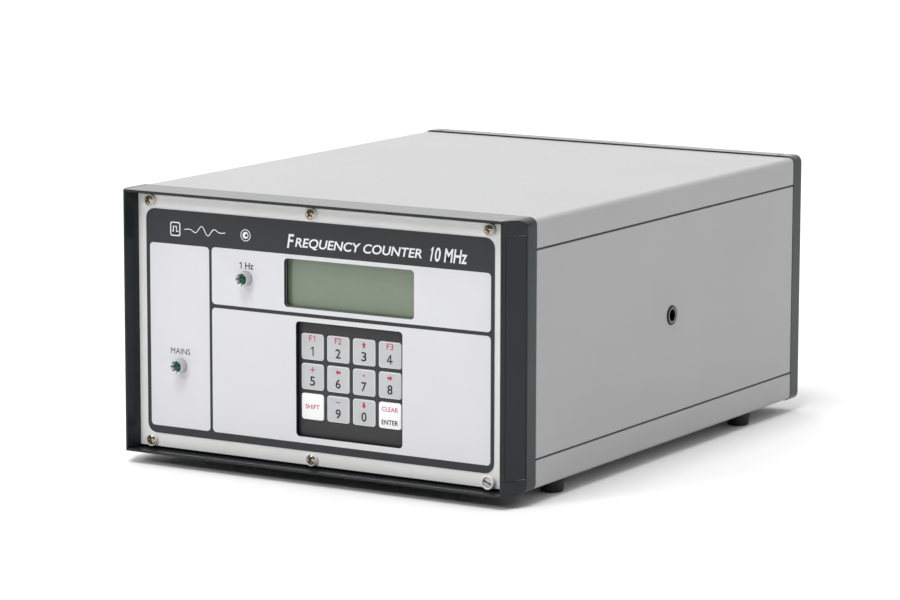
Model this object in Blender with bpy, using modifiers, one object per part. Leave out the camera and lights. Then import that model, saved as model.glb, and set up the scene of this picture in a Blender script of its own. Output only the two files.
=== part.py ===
"""Bench frequency counter: a half-width case of frame bars and wrapped sheet covers, with a keypad,
a display and two lamps on its front panel, and its connectors on the rear panel.

Metres, +Z up, front towards -Y. The origin is on the surface it stands on, under the centre of its box.
"""

from math import atan2, cos, hypot, pi, radians, sin, tan

import bmesh
import bpy
from mathutils import Matrix

# ---- Driving dimensions -------------------------------------------------------------------------

GAP = 0.0003                 # between pieces that touch
HAIR_GAP = 0.00005           # between a film and what it lies on
HOLE_CLEARANCE = 0.0002      # round a turned piece in its hole

# Front panel, a standard 3U by 42HP plate, and the film on it
PANEL_WIDTH = 0.2130
PANEL_HEIGHT = 0.1284
PANEL_THICKNESS = 0.0025
FILM_SIDE_MARGIN = 0.0049
FILM_END_MARGIN = 0.00695
FILM_THICKNESS = 0.00025
FILM_CORNER = 0.0050

# Front frame
LIP_REACH = 0.0078           # lip in front of the panel's face
LIP_THICKNESS = 0.0012
LIP_CLEARANCE = 0.0014       # panel's edge to the rail
POST_WIDTH = 0.0095
POST_TIP = 0.0011            # width of a post's front edge
FACET_RISE = 0.0060          # how far the wide facet spreads sideways
FACET_DEPTH = 0.0139         # and how far it runs back
FRONT_FRAME_DEPTH = 0.0222
TRIM_THICKNESS = 0.0010
TRIM_SETBACK = 0.0020        # from the post's front edge to the trim strip
TRIM_END = 0.0076            # from the post's end to the trim strip
RAIL_WEB = 0.0020            # the rail's flange that the panel is screwed to
WEB_MARGIN = 0.0030          # flange beyond the screw's centre, past the head

# Case
COVER_LENGTH = 0.2756
COVER_THICKNESS = 0.0012
COVER_BEND = 0.0030          # outer radius of the bend
COVER_FLANGE = 0.0144        # how far a cover wraps down or up the side
FRAME_PROUD = 0.0008         # frame bars above and below the covers
SEAM = 0.0010                # dark line between a cover's edge and the side panel
SIDE_THICKNESS = 0.0012
SIDE_TONGUE = 0.0060         # part of the side panel that laps behind a cover's flange

# Rear frame
REAR_FRAME_DEPTH = 0.0098
REAR_BAR_WIDTH = 0.0100      # of the posts, across
REAR_BAR_HEIGHT = 0.0075     # of the rails, up and down
REAR_PANEL_INSET = 0.0050
REAR_PANEL_THICKNESS = 0.0020

# Panel screws
SCREW_SIDE_INSET = 0.00744   # screw's centre from the panel's side
SCREW_END_INSET = 0.00295    # and from its top or bottom edge
SCREW_SHIFT_X = -0.0025      # of the middle screws
SCREW_RADIUS = 0.00125
SCREW_LENGTH = 0.0075
SCREW_CLEARANCE = 0.00035
HEAD_RADIUS = 0.0025
HEAD_HEIGHT = 0.0021
HEAD_FLAT = 0.6              # share of the head's radius that is flat
HEAD_ROUND = 0.0006
SLEEVE_RADIUS = 0.0030
SLEEVE_HEIGHT = 0.0014
ODD_SLEEVE_RADIUS = 0.0036   # the lower right screw has a longer sleeve
ODD_SLEEVE_HEIGHT = 0.0020

# Keys and keypad
KEY_COLUMNS = 4
KEY_ROWS = 3
KEY_WIDTH = 0.0131
KEY_HEIGHT = 0.0132
KEY_SPACE_X = 0.0019
KEY_SPACE_Z = 0.0018
KEY_CORNER = 0.0015
KEY_PROUD = 0.0002
KEY_DEPTH = 0.0030
KEY_CLEARANCE = 0.0002
KEY_TRAVEL = 0.0006
KEYPAD_SIDE_MARGIN = 0.00185
KEYPAD_TOP_MARGIN = 0.0059
KEYPAD_BOTTOM_MARGIN = 0.0085
KEYPAD_CORNER = 0.0020
KEYPAD_RECESS = 0.0019
BEZEL_THICKNESS = 0.0022
KEYPAD_FROM_RIGHT = 0.0516   # keypad's right edge to the film's
KEYPAD_FROM_BOTTOM = 0.00705 # keypad's bottom edge to the film's

# Display window
DISPLAY_WIDTH = 0.0752
DISPLAY_HEIGHT = 0.0242
DISPLAY_CORNER = 0.0020
DISPLAY_FROM_RIGHT = 0.0450  # window's right edge to the film's
DISPLAY_OVER_KEYPAD = 0.0066
GLASS_SETBACK = 0.0009       # glass behind the panel's back
GLASS_THICKNESS = 0.0016
DISPLAY_FRAME_MARGIN = 0.0045
DISPLAY_FRAME_THICKNESS = 0.0024

# Lamps
GATE_LAMP_FROM_DISPLAY = 0.0228
POWER_LAMP_FROM_LEFT = 0.0204
POWER_LAMP_FROM_BOTTOM = 0.03565
COLLAR_RADIUS = 0.0036
COLLAR_REACH = 0.0046
COLLAR_EDGE = 0.0004         # rounding of the collar's front edge
COLLAR_MOUTH = 0.0031
COLLAR_BORE = 0.0027
COLLAR_CONE = 0.0020         # depth of the bright cone round the lens
COLLAR_NECK = 0.0032         # outside radius where it passes through the panel
COLLAR_TAIL = 0.0060
LAMP_RADIUS = 0.0025
LAMP_TIP = 0.0036            # how far the lens reaches in front of the panel
LAMP_TAIL = 0.0040

# Boards behind the panel and in the case
BOARD_THICKNESS = 0.0016
BOARD_GAP = 0.0016           # from the keys' backs, pressed, to the board
DISPLAY_BOARD_SIDE = 0.0040  # display board beyond the display frame
DISPLAY_BOARD_END = 0.0050   # and below the keypad and above the display
MAIN_BOARD_END = 0.0278      # from the cover's end to the board
MAIN_BOARD_SIDE = 0.0086     # from the side panel to the board
MAIN_BOARD_HEIGHT = 0.0140   # above the bottom cover's inner face
SUPPLY_SIZE = (0.0560, 0.1500, 0.0600)
SUPPLY_SIDE = 0.0076
SUPPLY_SPACE = 0.0050        # from the main board to the power supply
OSCILLATOR_SIZE = (0.0510, 0.0510, 0.0380)
OSCILLATOR_FROM_EDGE = 0.0430
BOARD_HOLE = 0.0016
BOARD_HOLE_INSET = 0.0050

# Side bush
BUSH_RADIUS = 0.0051
BUSH_FLANGE = 0.0006
BUSH_BORE = 0.0030
BUSH_WALL = 0.0010
BUSH_LENGTH = 0.0080
BUSH_FLOOR = 0.0020

# Feet
FOOT_HEIGHT = 0.0070         # from the surface to the bottom cover
FOOT_RADIUS = 0.0064
FOOT_TAPER = 0.0008
FOOT_EDGE = 0.0008
FOOT_SIDE_INSET = 0.0089     # foot's centre from the case's side
FOOT_END_INSET = 0.05395     # and from its front or rear

# Mains inlet: from the bottom, a socket, a fuse drawer and a rocker
INLET_FROM_SIDE = 0.0300     # inlet's centre from the rear panel's edge
INLET_RISE = 0.0040          # above the panel's centre
INLET_FLANGE_MARGIN = 0.0025
INLET_FLANGE_THICKNESS = 0.0022
INLET_BEHIND = 0.0240        # body behind the panel
INLET_CORNER = 0.0030
INLET_WALL = 0.0020
INLET_STEP = 0.0036          # between its three openings
SOCKET_WIDTH = 0.0244
SOCKET_HEIGHT = 0.0168
SOCKET_DEPTH = 0.0170
SOCKET_CORNER = 0.0030
PIN_WIDTH = 0.0020
PIN_HEIGHT = 0.0040
PIN_LENGTH = 0.0140
PIN_SPREAD = 0.0070
PIN_RISE = 0.0015            # the earth pin up, and the other two down
DRAWER_WIDTH = 0.0220
DRAWER_HEIGHT = 0.0085
DRAWER_DEPTH = 0.0190
DRAWER_PROUD = 0.0012
ROCKER_WIDTH = 0.0190
ROCKER_RADIUS = 0.0066
ROCKER_TILT = 10.0           # degrees each way from level
ROCKER_REACH = 0.0026        # of the rocker's middle above its axis
ROCKER_CLEARANCE = 0.0004
ROCKER_CHEEK = 20.0          # degrees of open belly under each wing

# Coaxial sockets
BNC_RADIUS = 0.0048
BNC_LENGTH = 0.0110
BNC_WALL = 0.0008
BNC_BORE_DEPTH = 0.0080
BNC_PIN = 0.0010
BNC_PIN_SETBACK = 0.0020
BNC_NUT_RIM = 0.0024
BNC_NUT_THICKNESS = 0.0022
BNC_TAIL = 0.0100
BNC_LUG_RADIUS = 0.0010
BNC_LUG_REACH = 0.0009
BNC_LUG_FROM_END = 0.0042
BNC_RISE = 0.0180
BNC_FROM_SIDE = 0.0310       # first socket from the rear panel's edge
BNC_PITCH = 0.0300
BNC_NAMES = ("measured_input", "reference_input", "reference_output")

# Serial connector and ground post
SERIAL_DROP = 0.0240         # below the panel's centre, as the ground post
SERIAL_FLANGE_SIDE = 0.00705
SERIAL_FLANGE_END = 0.0021
SERIAL_FLANGE_THICKNESS = 0.0010
SERIAL_FLANGE_CORNER = 0.0015
SERIAL_WIDTH = 0.0167
SERIAL_HEIGHT = 0.0083
SERIAL_SLOPE = 10.0          # degrees, of the shell's sides
SERIAL_REACH = 0.0058
SERIAL_BEHIND = 0.0080
SERIAL_NUT_SPACE = 0.00415   # from the shell to the nut's centre
SERIAL_NUT_RADIUS = 0.0025
SERIAL_NUT_REACH = 0.0048
GROUND_FROM_INLET = 0.0410
GROUND_STUD = 0.0020
GROUND_NUT = 0.0048
GROUND_NUT_HEIGHT = 0.0070
GROUND_REACH = 0.0100
GROUND_TAIL = 0.0100

ARC_STEPS = 4                # segments in a quarter circle
ROUND_STEPS = 24             # segments in a turned piece
HOLE_STEPS = 12              # segments in a small hole

# ---- Places worked out from them -----------------------------------------------------------------

CASE_WIDTH = PANEL_WIDTH + 2 * (GAP + POST_WIDTH)
HALF_WIDTH = CASE_WIDTH / 2
RAIL_INNER_Z = PANEL_HEIGHT / 2 + LIP_CLEARANCE
FRAME_HALF_HEIGHT = RAIL_INNER_Z + LIP_THICKNESS
COVER_HALF_HEIGHT = FRAME_HALF_HEIGHT - FRAME_PROUD
CASE_DEPTH = FRONT_FRAME_DEPTH + GAP + COVER_LENGTH + GAP + REAR_FRAME_DEPTH
REAR_REACH = max(BNC_LENGTH, GROUND_REACH, SERIAL_REACH) + HAIR_GAP - REAR_PANEL_INSET
OVERALL_DEPTH = CASE_DEPTH + max(REAR_REACH, 0)
MID_Z = FOOT_HEIGHT + COVER_HALF_HEIGHT

LIP_Y = -OVERALL_DEPTH / 2
PANEL_Y = LIP_Y + LIP_REACH
PANEL_BACK_Y = PANEL_Y + PANEL_THICKNESS
FRONT_FRAME_BACK_Y = LIP_Y + FRONT_FRAME_DEPTH
COVER_Y = FRONT_FRAME_BACK_Y + GAP
COVER_END_Y = COVER_Y + COVER_LENGTH
REAR_FRAME_Y = COVER_END_Y + GAP
REAR_FRAME_END_Y = REAR_FRAME_Y + REAR_FRAME_DEPTH
REAR_PANEL_Y = REAR_FRAME_END_Y - REAR_PANEL_INSET
SIDE_MID_Y = (COVER_Y + COVER_END_Y) / 2
SEAM_Z = COVER_HALF_HEIGHT - COVER_FLANGE
SIDE_INNER_X = HALF_WIDTH - COVER_THICKNESS - GAP - SIDE_THICKNESS
POST_INNER_X = PANEL_WIDTH / 2 + GAP
POST_TIP_X = HALF_WIDTH - FACET_RISE
FACET_END_Y = LIP_Y + FACET_DEPTH
RAIL_HALF_LENGTH = POST_TIP_X - GAP / 2

# On the front panel, measured from its centre
FILM_WIDTH = PANEL_WIDTH - 2 * FILM_SIDE_MARGIN
FILM_HEIGHT = PANEL_HEIGHT - 2 * FILM_END_MARGIN
SCREW_X = PANEL_WIDTH / 2 - SCREW_SIDE_INSET
SCREW_Z = PANEL_HEIGHT / 2 - SCREW_END_INSET
SCREW_HOLE = SCREW_RADIUS + SCREW_CLEARANCE
RAIL_WEB_END_Z = SCREW_Z - SCREW_HOLE - WEB_MARGIN
KEY_PITCH_X = KEY_WIDTH + KEY_SPACE_X
KEY_PITCH_Z = KEY_HEIGHT + KEY_SPACE_Z
KEYPAD_WIDTH = KEY_COLUMNS * KEY_PITCH_X - KEY_SPACE_X + 2 * KEYPAD_SIDE_MARGIN
KEYPAD_HEIGHT = KEY_ROWS * KEY_PITCH_Z - KEY_SPACE_Z + KEYPAD_TOP_MARGIN + KEYPAD_BOTTOM_MARGIN
KEYPAD_X = FILM_WIDTH / 2 - KEYPAD_FROM_RIGHT - KEYPAD_WIDTH / 2
KEYPAD_Z = KEYPAD_FROM_BOTTOM + KEYPAD_HEIGHT / 2 - FILM_HEIGHT / 2
FIRST_KEY_Z = KEYPAD_Z + KEYPAD_HEIGHT / 2 - KEYPAD_TOP_MARGIN - KEY_HEIGHT / 2
DISPLAY_X = FILM_WIDTH / 2 - DISPLAY_FROM_RIGHT - DISPLAY_WIDTH / 2
DISPLAY_Z = KEYPAD_Z + KEYPAD_HEIGHT / 2 + DISPLAY_OVER_KEYPAD + DISPLAY_HEIGHT / 2
LAMP_PLACES = {
    "gate": (DISPLAY_X - DISPLAY_WIDTH / 2 - GATE_LAMP_FROM_DISPLAY, DISPLAY_Z),
    "power": (POWER_LAMP_FROM_LEFT - FILM_WIDTH / 2, POWER_LAMP_FROM_BOTTOM - FILM_HEIGHT / 2),
}

# On the rear panel, measured from its centre, x to the right as seen from the front
REAR_HALF_WIDTH = HALF_WIDTH - REAR_BAR_WIDTH - GAP
REAR_HALF_HEIGHT = FRAME_HALF_HEIGHT - REAR_BAR_HEIGHT - GAP
INLET_X = REAR_HALF_WIDTH - INLET_FROM_SIDE
ROCKER_HALF = ROCKER_RADIUS + ROCKER_CLEARANCE
INLET_BODY_WIDTH = max(SOCKET_WIDTH, DRAWER_WIDTH, ROCKER_WIDTH) + 2 * INLET_WALL
INLET_BODY_HEIGHT = SOCKET_HEIGHT + DRAWER_HEIGHT + 2 * (ROCKER_HALF + INLET_STEP + INLET_WALL)
SOCKET_Z = INLET_RISE - INLET_BODY_HEIGHT / 2 + INLET_WALL + SOCKET_HEIGHT / 2
DRAWER_Z = SOCKET_Z + (SOCKET_HEIGHT + DRAWER_HEIGHT) / 2 + INLET_STEP
ROCKER_Z = DRAWER_Z + DRAWER_HEIGHT / 2 + INLET_STEP + ROCKER_HALF
INLET_FACE_Y = REAR_PANEL_Y + HAIR_GAP + INLET_FLANGE_THICKNESS
BNC_PLACES = {name: BNC_FROM_SIDE - REAR_HALF_WIDTH + i * BNC_PITCH
              for i, name in enumerate(BNC_NAMES)}
SERIAL_X = BNC_PLACES["reference_input"] + BNC_PITCH / 2
GROUND_X = INLET_X - GROUND_FROM_INLET

# ---- Finishes -------------------------------------------------------------------------------------

FINISHES = {                 # colour, roughness, metallic
    "anthracite": ((0.055, 0.060, 0.064), 0.45, 0.0),
    "light_grey": ((0.62, 0.63, 0.63), 0.50, 0.0),
    "satin_aluminium": ((0.78, 0.79, 0.80), 0.38, 1.0),
    "film_grey": ((0.060, 0.063, 0.068), 0.50, 0.0),
    "black_plastic": ((0.025, 0.025, 0.026), 0.50, 0.0),
    "key_grey": ((0.55, 0.57, 0.58), 0.50, 0.0),
    "key_white": ((0.90, 0.90, 0.90), 0.50, 0.0),
    "black_rubber": ((0.015, 0.015, 0.015), 0.80, 0.0),
    "nickel": ((0.75, 0.72, 0.66), 0.22, 1.0),
    "chrome": ((0.85, 0.85, 0.86), 0.08, 1.0),
    "green_lens": ((0.01, 0.25, 0.14), 0.15, 0.0),
    "display_glass": ((0.27, 0.33, 0.25), 0.20, 0.0),
    "circuit_board": ((0.02, 0.16, 0.07), 0.50, 0.0),
    "zinc_steel": ((0.60, 0.61, 0.62), 0.35, 1.0),
    "brass": ((0.70, 0.53, 0.25), 0.30, 1.0),
}


def finish(name):
    """The named finish as a material, made once."""
    material = bpy.data.materials.get(name)
    if material:
        return material
    colour, roughness, metallic = FINISHES[name]
    material = bpy.data.materials.new(name)
    material.use_nodes = True
    shader = material.node_tree.nodes["Principled BSDF"]
    shader.inputs["Base Color"].default_value = (*colour, 1)
    shader.inputs["Roughness"].default_value = roughness
    shader.inputs["Metallic"].default_value = metallic
    return material


# ---- Tools ----------------------------------------------------------------------------------------

# Turns a flat outline's u, v and thickness into world axes.
PLANES = {
    "XY": Matrix(((1, 0, 0), (0, 1, 0), (0, 0, 1))),
    "XZ": Matrix(((1, 0, 0), (0, 0, -1), (0, 1, 0))),
    "YZ": Matrix(((0, 0, 1), (1, 0, 0), (0, 1, 0))),
}
# Turns a lathe's upward axis into the way a turned piece points.
DIRECTIONS = {
    "up": Matrix.Identity(4),
    "front": Matrix.Rotation(pi / 2, 4, "X"),
    "rear": Matrix.Rotation(-pi / 2, 4, "X"),
    "right": Matrix.Rotation(pi / 2, 4, "Y"),
    "left": Matrix.Rotation(-pi / 2, 4, "Y"),
}


def arc(centre, radius, first, last, steps=ARC_STEPS):
    """Points on an arc, angles in degrees."""
    turns = [radians(first + (last - first) * i / steps) for i in range(steps + 1)]
    return [(centre[0] + radius * cos(t), centre[1] + radius * sin(t)) for t in turns]


def rounded(width, height, radius, centre=(0, 0)):
    """A rectangle's outline with round corners, anticlockwise."""
    points = []
    for turn, (sx, sy) in zip((0, 90, 180, 270), ((1, 1), (-1, 1), (-1, -1), (1, -1))):
        corner = (centre[0] + sx * (width / 2 - radius), centre[1] + sy * (height / 2 - radius))
        points += arc(corner, radius, turn, turn + 90)
    return points


def rectangle(width, height, centre=(0, 0)):
    x, y = centre
    w, h = width / 2, height / 2
    return [(x - w, y - h), (x + w, y - h), (x + w, y + h), (x - w, y + h)]


def circle(radius, centre=(0, 0), steps=ROUND_STEPS):
    return arc(centre, radius, 0, 360, steps)[:-1]


def mirrored(points, side):
    """The outline itself on the right side, and its mirror image on the left."""
    return points if side > 0 else [(-x, y) for x, y in reversed(points)]


def place(obj, material, cutter):
    """Puts an object in the parts' or the cutters' collection."""
    if cutter:
        CUTTERS.objects.link(obj)
        obj.hide_render = True
        obj.display_type = "WIRE"
    else:
        PARTS.objects.link(obj)
        obj.data.materials.append(finish(material))
    return obj


def extrusion(name, plane, span, outline, holes=(), material=None):
    """A flat outline with holes, between two heights over its plane. Without a material it is a cutter."""
    curve = bpy.data.curves.new(name, "CURVE")
    curve.dimensions = "2D"
    curve.fill_mode = "BOTH"
    curve.extrude = abs(span[1] - span[0]) / 2
    for points in (outline, *holes):
        spline = curve.splines.new("POLY")
        spline.points.add(len(points) - 1)
        for target, (u, v) in zip(spline.points, points):
            target.co = (u, v, 0, 1)
        spline.use_cyclic_u = True
    flat = bpy.data.objects.new(name + "_outline", curve)
    bpy.context.scene.collection.objects.link(flat)
    turn = PLANES[plane].to_4x4()
    thickness_axis = turn.to_3x3() @ Matrix.Identity(3).col[2]
    flat.matrix_world = Matrix.Translation([abs(a) * sum(span) / 2 for a in thickness_axis]) @ turn
    bpy.context.view_layer.update()
    evaluated = flat.evaluated_get(bpy.context.evaluated_depsgraph_get())
    mesh = bpy.data.meshes.new_from_object(evaluated)
    mesh.name = name
    work = bmesh.new()
    work.from_mesh(mesh)
    bmesh.ops.remove_doubles(work, verts=work.verts, dist=1e-7)
    bmesh.ops.recalc_face_normals(work, faces=work.faces)
    work.to_mesh(mesh)
    work.free()
    obj = bpy.data.objects.new(name, mesh)
    obj.matrix_world = flat.matrix_world
    bpy.data.objects.remove(flat)
    return place(obj, material, material is None)


def block(name, low, high, material=None):
    """A box between two corners."""
    width, height = high[0] - low[0], high[1] - low[1]
    centre = ((low[0] + high[0]) / 2, (low[1] + high[1]) / 2)
    outline = rectangle(width, height, centre)
    return extrusion(name, "XY", (low[2], high[2]), outline, material=material)


def turned(name, direction, at, profile, material=None, closed=False, steps=ROUND_STEPS):
    """A lathe-turned piece. The profile is (radius, height) points, down the outside and, where it is
    a ring, back up the inside. Height is measured from `at`, the way the piece points."""
    mesh = bpy.data.meshes.new(name)
    edges = [(i, i + 1) for i in range(len(profile) - 1)]
    if closed:
        edges.append((len(profile) - 1, 0))
    mesh.from_pydata([(radius, 0, height) for radius, height in profile], edges, [])
    obj = bpy.data.objects.new(name, mesh)
    lathe = obj.modifiers.new("lathe", "SCREW")
    lathe.steps = lathe.render_steps = steps
    lathe.use_merge_vertices = True
    lathe.merge_threshold = 1e-6
    lathe.use_smooth_shade = True
    obj.matrix_world = Matrix.Translation(at) @ DIRECTIONS[direction]
    return place(obj, material, material is None)


def boolean(obj, other, operation):
    step = obj.modifiers.new(other.name, "BOOLEAN")
    step.operation = operation
    step.solver = "EXACT"
    step.object = other
    return obj


def cut(obj, *cutters):
    for cutter in cutters:
        boolean(obj, cutter, "DIFFERENCE")
    return obj


def join(obj, *others):
    for other in others:
        boolean(obj, other, "UNION")
    return obj


def lifted(points, z=MID_Z):
    """An outline in X and Z, given from the panel's centre, raised to its height."""
    return [(x, v + z) for x, v in points]


# ---- Case -----------------------------------------------------------------------------------------


def frame_envelope(name, y_span):
    """The rounded outline of the frame seen from the front, as a solid to trim bars with."""
    radius = COVER_BEND + FRAME_PROUD
    outline = lifted(rounded(CASE_WIDTH, 2 * FRAME_HALF_HEIGHT, radius))
    return extrusion(name, "XZ", y_span, outline)


def rail_end_cutter(name, side, up, y_span):
    """The room that a rail's end takes out of a post's end."""
    low_x = min(side * (RAIL_HALF_LENGTH + GAP / 2), 0)
    high_x = max(side * (RAIL_HALF_LENGTH + GAP / 2), 0)
    inner = RAIL_INNER_Z - GAP
    low_z, high_z = (inner, FRAME_HALF_HEIGHT + GAP) if up > 0 else (-FRAME_HALF_HEIGHT - GAP, -inner)
    return block(name, (low_x, y_span[0], MID_Z + low_z), (high_x, y_span[1], MID_Z + high_z))


def front_posts():
    """Upright bars of the front frame: a thin front edge, a wide sloping facet and a narrow side face.
    A trim strip lies in a pocket along the wide facet."""
    slope = atan2(FACET_RISE, FACET_DEPTH)
    along = (sin(slope), cos(slope))
    inward = (-cos(slope), sin(slope))
    facet_length = hypot(FACET_RISE, FACET_DEPTH)
    post = [
        (POST_TIP_X - POST_TIP, LIP_Y), (POST_TIP_X, LIP_Y), (HALF_WIDTH, FACET_END_Y),
        (HALF_WIDTH, FRONT_FRAME_BACK_Y), (POST_INNER_X, FRONT_FRAME_BACK_Y), (POST_INNER_X, PANEL_Y),
    ]

    def on_facet(distance, depth):
        return (POST_TIP_X + along[0] * distance + inward[0] * depth,
                LIP_Y + along[1] * distance + inward[1] * depth)

    first, last = TRIM_SETBACK, facet_length - TRIM_THICKNESS
    pocket = [on_facet(first, -GAP), on_facet(last, -GAP), on_facet(last, TRIM_THICKNESS),
              on_facet(first, TRIM_THICKNESS)]
    strip = [on_facet(first + GAP / 2, 0), on_facet(last - GAP / 2, 0),
             on_facet(last - GAP / 2, TRIM_THICKNESS - GAP / 2),
             on_facet(first + GAP / 2, TRIM_THICKNESS - GAP / 2)]
    strip_half = FRAME_HALF_HEIGHT - TRIM_END
    y_span = (LIP_Y - GAP, FRONT_FRAME_BACK_Y + GAP)
    for side, word in ((-1, "left"), (1, "right")):
        height = (MID_Z - FRAME_HALF_HEIGHT, MID_Z + FRAME_HALF_HEIGHT)
        bar = extrusion(f"front_post_{word}", "XY", height, mirrored(post, side), material="anthracite")
        boolean(bar, frame_envelope(f"front_envelope_{word}", y_span), "INTERSECT")
        for up, end in ((-1, "bottom"), (1, "top")):
            cut(bar, rail_end_cutter(f"front_notch_{word}_{end}", side, up, y_span))
        strip_span = (MID_Z - strip_half + GAP / 2, MID_Z + strip_half - GAP / 2)
        pocket_span = (MID_Z - strip_half, MID_Z + strip_half)
        cut(bar, extrusion(f"trim_pocket_{word}", "XY", pocket_span, mirrored(pocket, side)))
        extrusion(f"front_trim_{word}", "XY", strip_span, mirrored(strip, side), material="anthracite")


def screw_columns():
    return ((-SCREW_X, "left"), (SCREW_SHIFT_X, "middle"), (SCREW_X, "right"))


def front_rails():
    """Cross bars of the front frame: a flat bar over the panel's edge, and a web behind the panel."""
    web_y = PANEL_BACK_Y + GAP
    web_half = POST_INNER_X - GAP
    for up, word in ((1, "top"), (-1, "bottom")):
        low_z, high_z = sorted((up * RAIL_INNER_Z, up * FRAME_HALF_HEIGHT))
        bar = block(f"front_rail_{word}", (-RAIL_HALF_LENGTH, LIP_Y, MID_Z + low_z),
                    (RAIL_HALF_LENGTH, FRONT_FRAME_BACK_Y, MID_Z + high_z), "anthracite")
        web_root = RAIL_INNER_Z + LIP_THICKNESS / 2
        low_z, high_z = sorted((up * RAIL_WEB_END_Z, up * web_root))
        join(bar, block(f"rail_web_{word}", (-web_half, web_y, MID_Z + low_z),
                        (web_half, web_y + RAIL_WEB, MID_Z + high_z)))
        for x, column in screw_columns():
            at = (x, web_y - GAP, MID_Z + up * SCREW_Z)
            depth = RAIL_WEB + 2 * GAP
            cut(bar, turned(f"rail_hole_{word}_{column}", "rear", at,
                            [(0, depth), (SCREW_HOLE, depth), (SCREW_HOLE, 0), (0, 0)], steps=HOLE_STEPS))


def rear_frame():
    """Posts and rails of the rear frame, rectangular bars trimmed to the rounded outline."""
    y_span = (REAR_FRAME_Y, REAR_FRAME_END_Y)
    cut_span = (REAR_FRAME_Y - GAP, REAR_FRAME_END_Y + GAP)
    inner_x = HALF_WIDTH - REAR_BAR_WIDTH
    inner_z = FRAME_HALF_HEIGHT - REAR_BAR_HEIGHT
    for side, word in ((-1, "left"), (1, "right")):
        low_x, high_x = sorted((side * inner_x, side * HALF_WIDTH))
        post = block(f"rear_post_{word}", (low_x, y_span[0], MID_Z - FRAME_HALF_HEIGHT),
                     (high_x, y_span[1], MID_Z + FRAME_HALF_HEIGHT), "anthracite")
        boolean(post, frame_envelope(f"rear_envelope_{word}", cut_span), "INTERSECT")
    for up, word in ((-1, "bottom"), (1, "top")):
        low_z, high_z = sorted((up * inner_z, up * FRAME_HALF_HEIGHT))
        block(f"rear_rail_{word}", (-inner_x + GAP, y_span[0], MID_Z + low_z),
              (inner_x - GAP, y_span[1], MID_Z + high_z), "anthracite")


def covers():
    """Top and bottom sheets, each bent down or up over the sides."""
    half_w, half_h = HALF_WIDTH, COVER_HALF_HEIGHT
    t, r = COVER_THICKNESS, COVER_BEND
    outer = [(half_w, SEAM_Z)] + arc((half_w - r, half_h - r), r, 0, 90)
    outer += arc((-half_w + r, half_h - r), r, 90, 180) + [(-half_w, SEAM_Z)]
    inner = [(-half_w + t, SEAM_Z)] + arc((-half_w + r, half_h - r), r - t, 180, 90)
    inner += arc((half_w - r, half_h - r), r - t, 90, 0) + [(half_w - t, SEAM_Z)]
    section = outer + inner
    span = (COVER_Y, COVER_END_Y)
    extrusion("top_cover", "XZ", span, lifted(section), material="light_grey")
    flipped = [(x, -z) for x, z in reversed(section)]
    extrusion("bottom_cover", "XZ", span, lifted(flipped), material="light_grey")


def side_panels():
    """A flat panel on each side, flush with the covers, with tongues that lap behind their edges."""
    outer, face = HALF_WIDTH, HALF_WIDTH - SIDE_THICKNESS
    lap, back = SIDE_INNER_X + SIDE_THICKNESS, SIDE_INNER_X
    edge, tongue = SEAM_Z - SEAM, SEAM_Z + SIDE_TONGUE
    root = edge - SIDE_THICKNESS
    half = [(outer, edge), (lap, edge), (lap, tongue), (back, tongue), (back, root), (face, root)]
    section = half + [(x, -z) for x, z in reversed(half)]
    span = (COVER_Y, COVER_END_Y)
    for side, word in ((-1, "left"), (1, "right")):
        panel = extrusion(f"side_panel_{word}", "XZ", span, lifted(mirrored(section, side)),
                          material="light_grey")
        neck = BUSH_BORE + BUSH_WALL
        hole = neck + HOLE_CLEARANCE
        at = (side * (HALF_WIDTH + GAP), SIDE_MID_Y, MID_Z)
        way = "right" if side > 0 else "left"
        depth = SIDE_THICKNESS + COVER_THICKNESS + 3 * GAP
        cut(panel, turned(f"bush_hole_{word}", way, at,
                          [(0, 0), (hole, 0), (hole, -depth), (0, -depth)]))
        floor = BUSH_FLOOR - BUSH_LENGTH
        turned(f"side_bush_{word}", way, (side * (HALF_WIDTH + HAIR_GAP), SIDE_MID_Y, MID_Z), [
            (0, floor), (BUSH_BORE, floor), (BUSH_BORE, BUSH_FLANGE), (BUSH_RADIUS, BUSH_FLANGE),
            (BUSH_RADIUS, 0), (neck, 0), (neck, -BUSH_LENGTH), (0, -BUSH_LENGTH),
        ], "black_plastic")


def feet():
    """Small rubber feet under the bottom cover."""
    mid_y = (LIP_Y + REAR_FRAME_END_Y) / 2
    reach = CASE_DEPTH / 2 - FOOT_END_INSET
    top = FOOT_HEIGHT - GAP
    for end, row in ((-1, "front"), (1, "rear")):
        for side, word in ((-1, "left"), (1, "right")):
            at = (side * (HALF_WIDTH - FOOT_SIDE_INSET), mid_y + end * reach, 0)
            sole = FOOT_RADIUS - FOOT_TAPER
            turned(f"foot_{row}_{word}", "up", at, [
                (0, top), (FOOT_RADIUS - FOOT_EDGE / 2, top), (FOOT_RADIUS, top - FOOT_EDGE),
                (sole, FOOT_EDGE), (sole - FOOT_EDGE, 0), (0, 0),
            ], "black_rubber")


# ---- Front panel ----------------------------------------------------------------------------------


def openings(lamp_radius):
    """Openings of the panel and its film: display, keypad and lamps."""
    display = rounded(DISPLAY_WIDTH, DISPLAY_HEIGHT, DISPLAY_CORNER, (DISPLAY_X, DISPLAY_Z))
    keypad = rounded(KEYPAD_WIDTH, KEYPAD_HEIGHT, KEYPAD_CORNER, (KEYPAD_X, KEYPAD_Z))
    lamp_holes = [circle(lamp_radius + HOLE_CLEARANCE, at) for at in LAMP_PLACES.values()]
    return [lifted(hole) for hole in (display, keypad, *lamp_holes)]


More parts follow.
